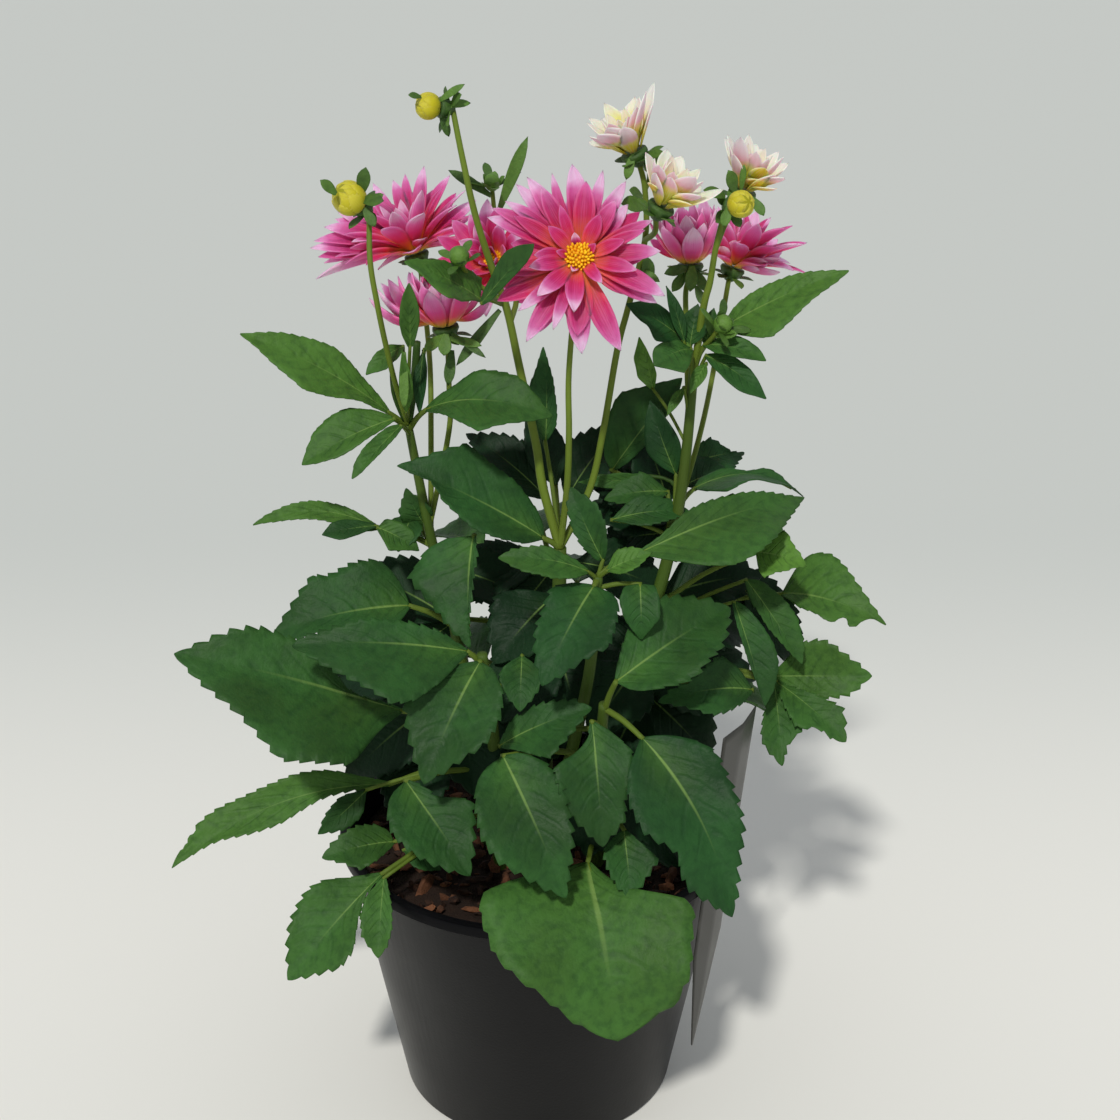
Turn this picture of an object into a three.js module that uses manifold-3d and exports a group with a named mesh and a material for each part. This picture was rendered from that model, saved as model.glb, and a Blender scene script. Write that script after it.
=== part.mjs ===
// A dahlia in a plastic nursery pot: pot, soil, label, seven leafy stems, six full blooms, three half-open
// flowers and three yellow buds. Millimetres, +Z up, with the origin at the centre of the pot's underside.
import * as THREE from 'three';
import { mergeVertices } from 'three/addons/utils/BufferGeometryUtils.js';
import Module from 'manifold-3d';

const wasm = await Module();
wasm.setup();

// Driving sizes of the pot and the soil
const POT_HEIGHT = 168;
const RIM_RADIUS = 115;
const RIM_HEIGHT = 7;
const RIM_ROUND = 1.5;
const WALL_TOP_RADIUS = 111;
const BASE_RADIUS = 81;
const WALL = 2;
const FLOOR = 3;
const POT_SIDES = 30;
const DRAIN_RADIUS = 6;
const DRAIN_RING = 52;
const DRAIN_COUNT = 6;
const SOIL_LEVEL = 152;
const SOIL_SIDES = 20;
const SOIL_DOME = 3;
const SOIL_LUMP = 2.2;
const STEM_FOOT = 118;
const GAP = 0.3;
const HOLE_GAP = 0.5;

// Driving sizes of the plant
const BLADE = 0.7;
const PETAL = 0.7;
const PETIOLE_RADIUS = 1.8;
const STALK_RADIUS = 1.6;
const CUP_RADIUS = 6;
const CUP_DEPTH = 8;

// The view that the places of leaves, stalks and blooms are given in: an eye in front of the plant that
// looks down on it. A place is a column and a row of that view with a depth in mm, +Y away from the eye.
const EYE = new THREE.Vector3(13.5, -969, 752);
const EYE_PITCH = THREE.MathUtils.degToRad(23.33);
const EYE_FOCAL = 1911;
const EYE_CENTRE = 560;

function place([column, row, depth]) {
  const across = (column - EYE_CENTRE) / EYE_FOCAL;
  const rise = (EYE_CENTRE - row) / EYE_FOCAL;
  const away = Math.cos(EYE_PITCH) + rise * Math.sin(EYE_PITCH);
  const up = rise * Math.cos(EYE_PITCH) - Math.sin(EYE_PITCH);
  const reach = (depth - EYE.y) / away;
  return new THREE.Vector3(EYE.x + across * reach, depth, EYE.z + up * reach);
}

// Seeded draws, so that each run gives the same plant
function makeDraw(seed) {
  let state = seed;
  return (low, high) => {
    state = (state * 1664525 + 1013904223) % 4294967296;
    return low + (high - low) * state / 4294967296;
  };
}

// Solids
function solidOf(geometry) {
  const bare = geometry.clone();
  bare.deleteAttribute('normal');
  bare.deleteAttribute('uv');
  const merged = mergeVertices(bare, 1e-4);
  return solidFrom(merged.attributes.position.array, merged.index.array);
}

function solidFrom(positions, triangles) {
  const mesh = new wasm.Mesh({
    numProp: 3,
    vertProperties: Float32Array.from(positions),
    triVerts: Uint32Array.from(triangles),
  });
  const solid = new wasm.Manifold(mesh);
  return solid.volume() >= 0 ? solid : solidFrom(positions, flipped(triangles));
}

function flipped(triangles) {
  const others = [];
  for (let i = 0; i < triangles.length; i += 3) {
    others.push(triangles[i], triangles[i + 2], triangles[i + 1]);
  }
  return others;
}

function join(solids) {
  return solids.reduce((whole, next) => whole.add(next));
}

// A thin sheet: rows of points give its middle, and each face lies half of its row's thickness to one side
function sheet(rows, thickness) {
  const count = rows[0].length;
  const at = (i, j) => rows[Math.min(Math.max(i, 0), rows.length - 1)][Math.min(Math.max(j, 0), count - 1)];
  const positions = [];
  for (const side of [1, -1]) {
    rows.forEach((row, i) => row.forEach((point, j) => {
      const along = at(i + 1, j).clone().sub(at(i - 1, j));
      const across = at(i, j + 1).clone().sub(at(i, j - 1));
      const normal = along.cross(across).normalize().multiplyScalar(side * thickness[i] / 2);
      positions.push(...normal.add(point).toArray());
    }));
  }
  const under = rows.length * count;
  const triangles = [];
  for (let i = 0; i + 1 < rows.length; i++) {
    for (let j = 0; j + 1 < count; j++) {
      const [a, b, c, d] = [i * count + j, i * count + j + 1, (i + 1) * count + j + 1, (i + 1) * count + j];
      const quad = 2 * j + 1 < count ? [a, b, c, a, c, d] : [a, b, d, b, c, d];
      triangles.push(...quad, ...flipped(quad).map((corner) => corner + under));
    }
  }
  const edge = [];
  for (let j = 0; j < count; j++) edge.push(j);
  for (let i = 1; i < rows.length; i++) edge.push(i * count + count - 1);
  for (let j = count - 2; j >= 0; j--) edge.push((rows.length - 1) * count + j);
  for (let i = rows.length - 2; i > 0; i--) edge.push(i * count);
  edge.forEach((a, k) => {
    const b = edge[(k + 1) % edge.length];
    triangles.push(a, under + a, b, b, under + a, under + b);
  });
  return solidFrom(positions, triangles);
}

// A tapered round stalk with a ring of corners at each of its points
function stalk(points, startRadius, endRadius, sides) {
  const last = points.length - 1;
  const positions = [];
  let spoke = new THREE.Vector3(1, 0.2, 0.1);
  points.forEach((centre, i) => {
    const along = points[Math.min(i + 1, last)].clone().sub(points[Math.max(i - 1, 0)]).normalize();
    spoke = spoke.addScaledVector(along, -spoke.dot(along)).normalize();
    const radius = startRadius + (endRadius - startRadius) * i / last;
    for (let j = 0; j < sides; j++) {
      const corner = spoke.clone().applyAxisAngle(along, 2 * Math.PI * j / sides);
      positions.push(...corner.multiplyScalar(radius).add(centre).toArray());
    }
  });
  const triangles = [];
  for (let i = 0; i < last; i++) {
    for (let j = 0; j < sides; j++) {
      const next = (j + 1) % sides;
      const [a, b] = [i * sides + j, i * sides + next];
      triangles.push(a, b, a + sides, b, b + sides, a + sides);
    }
  }
  const end = last * sides;
  for (let j = 1; j + 1 < sides; j++) triangles.push(0, j + 1, j, end, end + j, end + j + 1);
  return solidFrom(positions, triangles);
}

// A frame whose first direction runs along a blade and whose third is the way that its upper face looks
function bladeFrame(base, tip, face, roll) {
  const along = tip.clone().sub(base);
  const length = along.length();
  along.normalize();
  const up = face.clone().addScaledVector(along, -face.dot(along)).normalize();
  up.applyAxisAngle(along, THREE.MathUtils.degToRad(roll));
  const across = up.clone().cross(along);
  return { along, across, up, length };
}

// A leaf's half width along its midrib: 1 where it is widest, and pointed at its tip
function leafOutline(s, widest, point) {
  return (((s / widest) ** widest) * (((1 - s) / (1 - widest)) ** (1 - widest))) ** point;
}

// A toothed leaf with a folded and arched blade
const LEAF_FACE = new THREE.Vector3(0, -0.62, 0.78);
const LEAF_LOOKS = { arch: 0.07, bend: 0, fold: 14, roll: 0, widest: 0.42, point: 1.15, tooth: 0.1 };
const NECK_HALF_WIDTH = 1.4;
const NECK_THICKNESS = 1.8;
const TIP_HALF_WIDTH = 0.45;

function leafSolid(start, base, tip, width, looks) {
  const { arch, bend, fold, roll, widest, point, tooth } = { ...LEAF_LOOKS, ...looks };
  const { along, across, up, length } = bladeFrame(base, tip, looks.face, roll);
  const steps = length > 110 ? 8 : length > 45 ? 6 : 4;
  const lift = Math.sin(THREE.MathUtils.degToRad(fold));
  const flat = Math.cos(THREE.MathUtils.degToRad(fold));
  const row = (rib, side, rise, half) => [1, 0, -1].map((hand) => (
    rib.clone().addScaledVector(side, hand * half).addScaledVector(up, Math.abs(hand) * rise)));
  const run = base.clone().sub(start).normalize();
  const flank = across.clone().addScaledVector(run, -across.dot(run)).normalize();
  const rows = [row(start, flank, 0, PETIOLE_RADIUS)];
  const thickness = [1.7 * PETIOLE_RADIUS];
  for (let i = 0; i <= steps; i++) {
    const s = i / steps;
    const hump = 4 * s * (1 - s) * length;
    const rib = base.clone().addScaledVector(along, s * length);
    rib.addScaledVector(up, arch * hump).addScaledVector(across, bend * hump);
    const toothed = i % 2 === 1 ? 1 + tooth : 1 - tooth;
    const least = i === 0 ? NECK_HALF_WIDTH : TIP_HALF_WIDTH;
    const half = Math.max(0.5 * width * leafOutline(s, widest, point) * toothed, least);
    rows.push(row(rib, across.clone().multiplyScalar(flat), i === 0 ? 0 : half * lift, half));
    thickness.push(i === 0 ? NECK_THICKNESS : BLADE);
  }
  return sheet(rows, thickness);
}

const CORE_BOTTOM = -3;

// A crown of pointed, folded petals in one closed skin: layers that spring from the rim of a short core,
// each above the one before, with the same count of petals. A crest and a keel are rings of radius and height
// that the skin runs through above the top layer and below the lowest
const RING_RADIUS = 5.4;
const LAYER_STEP = 1.3;

function petalCrown(look) {
  const { centre, axis, count, layers, seed } = look;
  const { seat = CORE_BOTTOM, ring = RING_RADIUS, crest = [], keel = [] } = look;
  const draw = makeDraw(seed);
  const [side, front] = spokesOf(axis);
  const outAt = (turn) => side.clone().multiplyScalar(Math.cos(turn)).addScaledVector(front, Math.sin(turn));
  const turnOf = (tier) => (seed + tier * 0.5) * 2 * Math.PI / count;
  const points = [];
  const triangles = [];
  const layerSize = 2 * (5 * count + 1);
  layers.forEach(({ length, width, rise, curl = 0.05 }, tier) => {
    const first = points.length;
    const under = 5 * count + 1;
    const turn = turnOf(tier);
    const seatCentre = centre.clone().addScaledVector(axis, seat + PETAL / 2 + LAYER_STEP * tier);
    const middlePoints = [[seatCentre, axis]];
    for (let k = 0; k < count; k++) {
      const out = outAt(turn + 2 * Math.PI * k / count + draw(-0.07, 0.07));
      const lean = THREE.MathUtils.degToRad(rise + draw(-6, 6));
      const along = out.clone().multiplyScalar(Math.cos(lean)).addScaledVector(axis, Math.sin(lean));
      const up = axis.clone().multiplyScalar(Math.cos(lean)).addScaledVector(out, -Math.sin(lean));
      const across = axis.clone().cross(out);
      const reach = length * draw(0.92, 1.05) - ring;
      const root = seatCentre.clone().addScaledVector(out, ring);
      const at = (part, hand, lift) => root.clone().addScaledVector(along, part * reach)
        .addScaledVector(across, hand * width / 2).addScaledVector(up, lift);
      const valley = outAt(turn + 2 * Math.PI * (k + 0.5) / count);
      middlePoints.push([at(0.5, 0, -0.14 * width), up], [at(0.55, -1, 0.1 * width), up],
        [at(1, 0, curl * reach), up], [at(0.55, 1, 0.1 * width), up],
        [seatCentre.clone().addScaledVector(valley, ring), axis]);
    }
    for (const face of [1, -1]) {
      const shift = face * PETAL / 2;
      for (const [point, up] of middlePoints) points.push(point.clone().addScaledVector(up, shift));
    }
    for (let k = 0; k < count; k++) {
      const middle = first + 1 + 5 * k;
      const before = first + 5 + 5 * ((k + count - 1) % count);
      const rim = [before, middle + 1, middle + 2, middle + 3, middle + 4];
      const faces = [middle, rim[4], before];
      for (let n = 0; n < 4; n++) faces.push(middle, rim[n], rim[n + 1]);
      triangles.push(...faces, ...flipped(faces).map((corner) => corner + under));
      for (let n = 0; n < 4; n++) {
        const [a, b] = [rim[n], rim[n + 1]];
        triangles.push(a, a + under, b, b, a + under, b + under);
      }
      if (tier > 0) {
        const [lowBefore, lowAfter] = [before - layerSize, rim[4] - layerSize];
        triangles.push(lowBefore, lowAfter, before + under, lowAfter, rim[4] + under, before + under);
      }
    }
  });
  const close = (startRing, rings, turn, flip) => {
    let rim = startRing;
    const fill = (a, b, c) => triangles.push(...(flip ? [a, c, b] : [a, b, c]));
    for (const [radius, height] of rings) {
      const next = rim.map((_, k) => points.length + k);
      next.forEach((_, k) => {
        const spoke = outAt(turn + 2 * Math.PI * (k + 0.5) / count);
        points.push(centre.clone().addScaledVector(spoke, radius).addScaledVector(axis, height));
      });
      next.forEach((corner, k) => {
        const after = (k + 1) % count;
        fill(rim[k], rim[after], corner);
        fill(rim[after], next[after], corner);
      });
      rim = next;
    }
    for (let k = 1; k + 1 < count; k++) fill(rim[0], rim[k], rim[k + 1]);
  };
  const valleys = (from) => Array.from({ length: count }, (_, k) => from + 5 + 5 * k);
  close(valleys(points.length - layerSize), crest, turnOf(layers.length - 1), false);
  close(valleys(5 * count + 1), keel, turnOf(0), true);
  return solidFrom(...withoutLoose(points, triangles));
}

// The points that triangles use, with the triangles numbered to match
function withoutLoose(points, triangles) {
  const used = [...new Set(triangles)].sort((a, b) => a - b);
  const order = new Map(used.map((old, now) => [old, now]));
  return [used.flatMap((old) => points[old].toArray()), triangles.map((old) => order.get(old))];
}

// A round body turned about a direction: pairs of radius and height, from the bottom to the top
function turned(profile, centre, axis, sides) {
  const outline = profile.map(([radius, height]) => new THREE.Vector2(radius, height));
  const geometry = new THREE.LatheGeometry(outline, sides);
  geometry.rotateX(Math.PI / 2);
  const turn = new THREE.Quaternion().setFromUnitVectors(new THREE.Vector3(0, 0, 1), axis);
  geometry.applyQuaternion(turn);
  geometry.translate(centre.x, centre.y, centre.z);
  return solidOf(geometry);
}

// Two directions square to an axis
function spokesOf(axis) {
  const side = new THREE.Vector3(1, 0, 0).addScaledVector(axis, -axis.x).normalize();
  return [side, axis.clone().cross(side)];
}

// The yellow disc on a full bloom's core
function discOf({ centre, axis, layers, disc }) {
  const low = CORE_BOTTOM + PETAL + LAYER_STEP * (layers.length - 1) + GAP;
  return turned([[0, low], [disc, low], [disc * 0.8, low + 2.2], [0, low + 3.2]], centre, axis, 10);
}

// The green cup below a blossom or bud, in one skin with the bracts that stand out round it
const BRACT_SEAT = 5;

function greenCup({ centre, axis, seed, cup = CUP_RADIUS, seat = CORE_BOTTOM }) {
  const top = seat - GAP;
  return petalCrown({
    centre, axis, seed, count: 4, seat: top - BRACT_SEAT, ring: 0.7 * cup,
    layers: [{ length: 15, width: 5.5, rise: -18, curl: -0.1 }],
    crest: [[cup, top - 2], [0.9 * cup, top]],
    keel: [[0.4 * cup, top - CUP_DEPTH]],
  });
}

// Blossoms: where each sits, the way that it looks, and its petals from the outside in
const FULL_LAYERS = [
  { length: 47, width: 14, rise: 3 },
  { length: 43, width: 13.5, rise: 20 },
  { length: 35, width: 12, rise: 38 },
  { length: 24, width: 8, rise: 58 },
];
const SIDE_LAYERS = [
  { length: 45, width: 14, rise: 6 },
  { length: 41, width: 13.5, rise: 28 },
  { length: 32, width: 12, rise: 52 },
];
const SMALL_LAYERS = [
  { length: 33, width: 12, rise: 22 },
  { length: 30, width: 11, rise: 42 },
  { length: 24, width: 9, rise: 62 },
];
const OPENING_LAYERS = [
  { length: 33, width: 11, rise: 58 },
  { length: 31, width: 9.5, rise: 74 },
];

const BLOOMS = {
  main: { at: [579, 258, -38], looks: [0.04, -0.86, 0.5],
    layers: FULL_LAYERS, count: 8, disc: 4.6, seed: 11 },
  left: { at: [414, 248, 84], looks: [-0.3, -0.05, 0.95],
    layers: SIDE_LAYERS, count: 7, disc: 4.4, seed: 12 },
  behind: { at: [494, 262, 46], looks: [-0.3, -0.8, 0.5],
    layers: SMALL_LAYERS, count: 6, disc: 4.2, seed: 13 },
  low_left: { at: [444, 320, 2], looks: [-0.2, -0.12, 0.97],
    layers: SMALL_LAYERS, count: 6, disc: 4.2, seed: 14 },
  right: { at: [690, 258, 42], looks: [-0.12, -0.05, 0.99],
    layers: SIDE_LAYERS, count: 7, disc: 4.4, seed: 15 },
  far_right: { at: [735, 262, 106], looks: [0.3, 0.05, 0.95],
    layers: SIDE_LAYERS, count: 7, disc: 4.4, seed: 16 },
};
const OPENING = {
  high: { at: [631, 146, 6], looks: [-0.35, -0.15, 0.92], seed: 21 },
  mid: { at: [665, 200, -24], looks: [0.3, -0.2, 0.93], seed: 22 },
  right: { at: [746, 184, 12], looks: [0.25, -0.12, 0.96], seed: 23 },
};
const BUDS = {
  high: { at: [428, 106, 0], looks: [-0.9, -0.3, 0.15], radius: 6.6, seed: 31 },
  left: { at: [349, 198, -22], looks: [-0.6, -0.5, 0.55], radius: 8.6, seed: 32 },
  right: { at: [741, 204, -14], looks: [0.5, -0.75, 0.35], radius: 6.8, seed: 33 },
};

for (const blossom of [...Object.values(BLOOMS), ...Object.values(OPENING), ...Object.values(BUDS)]) {
  blossom.centre = place(blossom.at);
  blossom.axis = new THREE.Vector3(...blossom.looks).normalize();
}

// A blossom's stalk ends in its green cup
function stalkTop({ centre, axis, seat = CORE_BOTTOM }) {
  return centre.clone().addScaledVector(axis, seat - GAP - CUP_DEPTH + 1);
}

// A yellow bud: a ball with a flat seat that its green cup holds
const BUD_CUP_RADIUS = 4.6;
const BUD_LEANS = [-55, -25, 5, 35, 62];

for (const bud of Object.values(BUDS)) {
  bud.seat = -0.85 * bud.radius;
  bud.cup = BUD_CUP_RADIUS;
}

function budBall({ centre, axis, radius, seat }) {
  const profile = BUD_LEANS.map((angle) => {
    const lean = THREE.MathUtils.degToRad(angle);
    return [radius * Math.cos(lean), Math.max(radius * Math.sin(lean), seat)];
  });
  profile[0][1] = seat;
  return turned([[0, seat], ...profile, [0, 0.92 * radius]], centre, axis, 8);
}

// Stems: the main run of each, from its foot in the soil, in mm or as a place in the view
const foot = (x, y) => new THREE.Vector3(x, y, STEM_FOOT);
const collar = (x, y, z) => new THREE.Vector3(x, y, z);
const STEMS = {
  left: {
    run: [foot(-30, 4), collar(-31, 4, 185), place([452, 610, 8]), place([432, 542, 8]),
      place([408, 424, 6])],
    radii: [5, 3.4],
  },
  centre: {
    run: [foot(-2, 6), collar(-1, 5, 190), place([556, 640, -4]), place([560, 548, -14])],
    radii: [5.6, 4.4],
  },
  right: {
    run: [foot(30, 10), collar(32, 10, 185), place([650, 620, 8]), place([680, 500, 8]),
      place([695, 356, 4])],
    radii: [5.4, 3.8],
  },
  front: {
    run: [foot(10, -22), collar(12, -24, 185), place([588, 680, -46]), place([598, 576, -52])],
    radii: [4.2, 2.6],
  },
  low_left: {
    run: [foot(-20, -24), collar(-22, -26, 180), place([492, 720, -48]), place([482, 654, -58])],
    radii: [4.4, 2.8],
  },
  low_right: {
    run: [foot(34, -20), collar(36, -24, 180), place([600, 760, -54]), place([604, 704, -66])],
    radii: [4.2, 2.8],
  },
  back: {
    run: [foot(4, 36), collar(5, 44, 190), collar(8, 62, 250), collar(10, 70, 300)],
    radii: [5, 2.6],
  },
};

function stemAt(name, height) {
  const { run } = STEMS[name];
  const level = Math.min(height, run.at(-1).z);
  const next = Math.max(1, run.findIndex((point) => point.z >= level));
  const [low, high] = [run[next - 1], run[next]];
  return low.clone().lerp(high, (level - low.z) / (high.z - low.z));
}

// Flower stalks: the stem that each grows from, the places it passes, and the blossom that it carries
const STALKS = [
  { on: 'left', join: 410, by: [[397, 390, -6], [386, 346, -20], [377, 303, -30], [370, 260, -28]],
    to: BUDS.left },
  { on: 'left', join: 345, by: [[431, 437, 26], [430, 365, 50], [424, 300, 78]], to: BLOOMS.left },
  { on: 'left', join: 350, by: [[449, 431, 14], [449, 385, 10]], to: BLOOMS.low_left },
  { on: 'centre', join: 352, by: [[543, 488, -8], [536, 444, -4], [514, 365, 0], [509, 310, -2],
    [493, 270, -8], [475, 214, -8], [462, 156, -4]], to: BUDS.high, thick: 2.6 },
  { on: 'centre', join: 350, by: [[567, 488, -20], [569, 432, -24], [569, 370, -24]], to: BLOOMS.main,
    thick: 2 },
  { on: 'centre', join: 348, by: [[589, 491, 0], [603, 432, 2], [617, 351, 4], [628, 308, 6], [645, 240, 8],
    [645, 190, 8]], to: OPENING.high, thick: 2 },
  { on: 'right', join: 350, by: [[699, 438, 40], [713, 373, 70], [727, 290, 98]], to: BLOOMS.far_right },
  { on: 'right', join: 415, by: [[686, 320, 24], [686, 290, 40]], to: BLOOMS.right },
  { on: 'right', join: 430, by: [[703, 310, 0], [710, 282, 0], [716, 247, -2]], to: BUDS.right,
    thick: 2.2 },
];

// Branches of the flower stalks: from one place on a stalk to the blossom
const BRANCHES = [
  { on: 'centre', by: [[514, 365, 0], [518, 310, 48]], to: BLOOMS.behind },
  { on: 'centre', by: [[645, 240, 8], [655, 232, -12]], to: OPENING.mid },
  { on: 'right', by: [[716, 247, -2], [726, 222, 6]], to: OPENING.right },
];

// Leaves: the stem and the height that each grows from, its base and tip in the view, its width in mm
const LEAVES = [
  // Left stem
  { on: 'left', join: 408, base: [388, 412, 2], tip: [240, 334, -12], width: 30, arch: 0.08, widest: 0.36 },
  { on: 'left', join: 405, base: [394, 419, -6], tip: [302, 465, -24], width: 23, widest: 0.5 },
  { on: 'left', join: 405, base: [401, 426, -8], tip: [352, 479, -34], width: 14, arch: 0.04 },
  { on: 'left', join: 412, base: [402, 352, 2], tip: [366, 376, -12], width: 13, arch: 0.1 },
  { on: 'left', join: 408, base: [426, 410, -8], tip: [553, 417, -30], width: 33, arch: 0.17, widest: 0.5 },
  { on: 'left', join: 412, base: [409, 350, -26], tip: [408, 284, -40],
    width: 11, arch: 0.02, face: [0.2, -1, 0.1] },
  { on: 'left', join: 340, base: [378, 530, 8], tip: [253, 524, 0], width: 26, arch: 0.12, roll: -62 },
  { on: 'left', join: 335, base: [412, 516, 14], tip: [398, 552, -4], width: 20, arch: 0.05 },
  { on: 'left', join: 290, base: [410, 606, 6], tip: [274, 634, -8], width: 40, arch: 0.1 },
  { on: 'left', join: 300, base: [474, 536, -14], tip: [470, 648, -48], width: 40, arch: 0.06, roll: 24 },
  // Centre stem
  { on: 'centre', join: 350, base: [543, 538, -16], tip: [397, 466, -22],
    width: 42, arch: 0.06, widest: 0.55 },
  { on: 'centre', join: 460, base: [478, 299, -15], tip: [405, 262, -40], width: 21, arch: 0.06 },
  { on: 'centre', join: 462, base: [484, 300, -6], tip: [530, 250, -14], width: 12, arch: 0.04, roll: 30 },
  { on: 'centre', join: 400, base: [545, 440, 14], tip: [543, 347, 24], width: 21, face: [0.4, -1, 0.2] },
  // Front shoot
  { on: 'front', join: 345, base: [603, 560, -50], tip: [571, 487, -40], width: 20, arch: 0.08, roll: -30 },
  { on: 'front', join: 345, base: [588, 572, -56], tip: [498, 558, -66], width: 18, arch: 0.12 },
  { on: 'front', join: 345, base: [607, 571, -56], tip: [652, 553, -56], width: 15 },
  { on: 'front', join: 345, base: [594, 586, -58], tip: [542, 686, -98],
    width: 44, arch: 0.12, widest: 0.4 },
  { on: 'front', join: 340, base: [640, 584, -54], tip: [641, 640, -66],
    width: 23, arch: 0.2, tooth: 0.03 },
  { on: 'front', join: 350, base: [640, 553, -44], tip: [804, 498, 6],
    width: 40, arch: 0.08, widest: 0.48 },
  // Right stem
  { on: 'right', join: 448, base: [722, 328, 8], tip: [849, 271, 0], width: 29, arch: 0.05, widest: 0.45 },
  { on: 'right', join: 362, base: [694, 489, 22], tip: [803, 497, 26], width: 30, arch: 0.18, roll: -35 },
  { on: 'right', join: 436, base: [706, 342, -2], tip: [766, 360, -14], width: 14, arch: 0.12 },
  { on: 'right', join: 430, base: [706, 356, -2], tip: [766, 399, -16], width: 16, arch: 0.1 },
  { on: 'right', join: 436, base: [688, 350, -6], tip: [654, 372, -26],
    width: 19, arch: 0.12, widest: 0.5 },
  { on: 'right', join: 440, base: [684, 336, 2], tip: [634, 304, -6], width: 13, arch: 0.06 },
  { on: 'right', join: 380, base: [664, 440, 24], tip: [640, 338, 30], width: 10, face: [0, -1, 0.2] },
  { on: 'right', join: 356, base: [612, 470, 34], tip: [682, 378, 40], width: 36, face: [-0.2, -1, 0.3] },
  { on: 'right', join: 352, base: [676, 474, 14], tip: [650, 400, 22], width: 20, face: [-0.3, -1, 0.2] },
  { on: 'right', join: 360, base: [694, 458, 60], tip: [744, 450, 78], width: 24, arch: 0.1 },
  { on: 'right', join: 345, base: [612, 520, 2], tip: [690, 512, 12], width: 20, arch: 0.1 },
  { on: 'right', join: 300, base: [756, 552, 44], tip: [806, 566, 40], width: 30, arch: 0.1 },
  { on: 'right', join: 290, base: [782, 592, 22], tip: [886, 625, -8],
    width: 36, arch: 0.14, widest: 0.36 },
  { on: 'right', join: 280, base: [734, 604, -10], tip: [765, 706, -34], width: 19, arch: 0.05, roll: 30 },
  { on: 'right', join: 285, base: [760, 592, 8], tip: [802, 664, -12], width: 22, arch: 0.05, roll: 20 },
  { on: 'right', join: 262, base: [770, 676, 4], tip: [872, 676, -14], width: 38, arch: 0.1 },
  { on: 'right', join: 262, base: [776, 684, 2], tip: [846, 742, -22], width: 32, arch: 0.08 },
  { on: 'right', join: 262, base: [772, 690, 0], tip: [782, 766, -28], width: 26, arch: 0.06 },
  { on: 'right', join: 250, base: [752, 690, -30], tip: [658, 702, -52], width: 32, arch: 0.12 },
  // Low left shoot
  { on: 'low_left', join: 296, base: [468, 652, -58], tip: [292, 646, -74], width: 48, arch: 0.08 },
  { on: 'low_left', join: 296, base: [480, 662, -64], tip: [424, 784, -108],
    width: 58, arch: 0.1, widest: 0.4 },
  { on: 'low_left', join: 250, base: [402, 711, -42], tip: [174, 654, -62],
    width: 68, arch: 0.05, widest: 0.4 },
  { on: 'low_left', join: 230, base: [390, 784, -34], tip: [172, 868, -62],
    width: 46, arch: 0.14, roll: -42 },
  { on: 'low_left', join: 225, base: [366, 790, -40], tip: [318, 834, -52],
    width: 18, arch: 0.04, roll: -40 },
  { on: 'low_left', join: 222, base: [430, 786, -70], tip: [470, 876, -100],
    width: 48, arch: 0.06, widest: 0.4 },
  { on: 'low_left', join: 190, base: [394, 842, -64], tip: [322, 858, -80], width: 26, arch: 0.1 },
  { on: 'low_left', join: 188, base: [382, 874, -76], tip: [288, 980, -112], width: 46, arch: 0.06 },
  { on: 'low_left', join: 188, base: [384, 878, -80], tip: [378, 958, -108], width: 19, arch: 0.05 },
  { on: 'low_left', join: 186, base: [404, 850, -62], tip: [441, 870, -66], width: 14 },
  { on: 'low_left', join: 270, base: [522, 656, -50], tip: [520, 712, -72], width: 24, arch: 0.08 },
  // Low right shoot
  { on: 'low_right', join: 272, base: [616, 682, -80], tip: [730, 608, -38],
    width: 56, arch: 0.06, widest: 0.5 },
  { on: 'low_right', join: 262, base: [500, 746, -70], tip: [592, 708, -68], width: 32, arch: 0.1 },
  { on: 'low_right', join: 260, base: [592, 722, -74], tip: [603, 847, -104], width: 42, arch: 0.08 },
  { on: 'low_right', join: 276, base: [642, 738, -84], tip: [732, 917, -128],
    width: 60, arch: 0.08, bend: 0.06 },
  { on: 'low_right', join: 240, base: [503, 756, -84], tip: [566, 898, -122],
    width: 56, arch: 0.08, widest: 0.4 },
  { on: 'low_right', join: 200, base: [624, 830, -84], tip: [631, 900, -108], width: 36, arch: 0.06 },
  { on: 'low_right', join: 182, base: [588, 862, -82], tip: [618, 1041, -142], width: 122, arch: 0.16,
    widest: 0.38, tooth: 0.05, point: 0.85 },
];

// Leaves at the back, which the view above doesn't reach: three tiers round the far side
const BACK_TIERS = [
  { height: 232, count: 5, start: 14, end: 166, inner: 66, outer: 156, drop: 26, width: 60, join: 215 },
  { height: 280, count: 4, start: 28, end: 158, inner: 60, outer: 138, drop: 22, width: 52, join: 255 },
  { height: 318, count: 3, start: 50, end: 140, inner: 54, outer: 112, drop: 12, width: 42, join: 292 },
];
const BACK_CENTRE = new THREE.Vector3(8, 24, 0);

function backLeaves() {
  const draw = makeDraw(71);
  return BACK_TIERS.flatMap((tier) => {
    const { height, count, start, end, inner, outer, drop, width } = tier;
    const leaves = [];
    for (let k = 0; k < count; k++) {
      const turn = THREE.MathUtils.degToRad(start + (end - start) * k / (count - 1) + draw(-4, 4));
      const out = new THREE.Vector3(Math.cos(turn), Math.sin(turn), 0);
      const base = BACK_CENTRE.clone().addScaledVector(out, inner).setZ(height + draw(-4, 4));
      const tip = BACK_CENTRE.clone().addScaledVector(out, outer * draw(0.94, 1.05)).setZ(height - drop);
      const face = [0.3 * out.x, 0.3 * out.y, 1];
      leaves.push({ on: 'back', join: tier.join, from: base, end: tip, width, face });
    }
    return leaves;
  });
}

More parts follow.
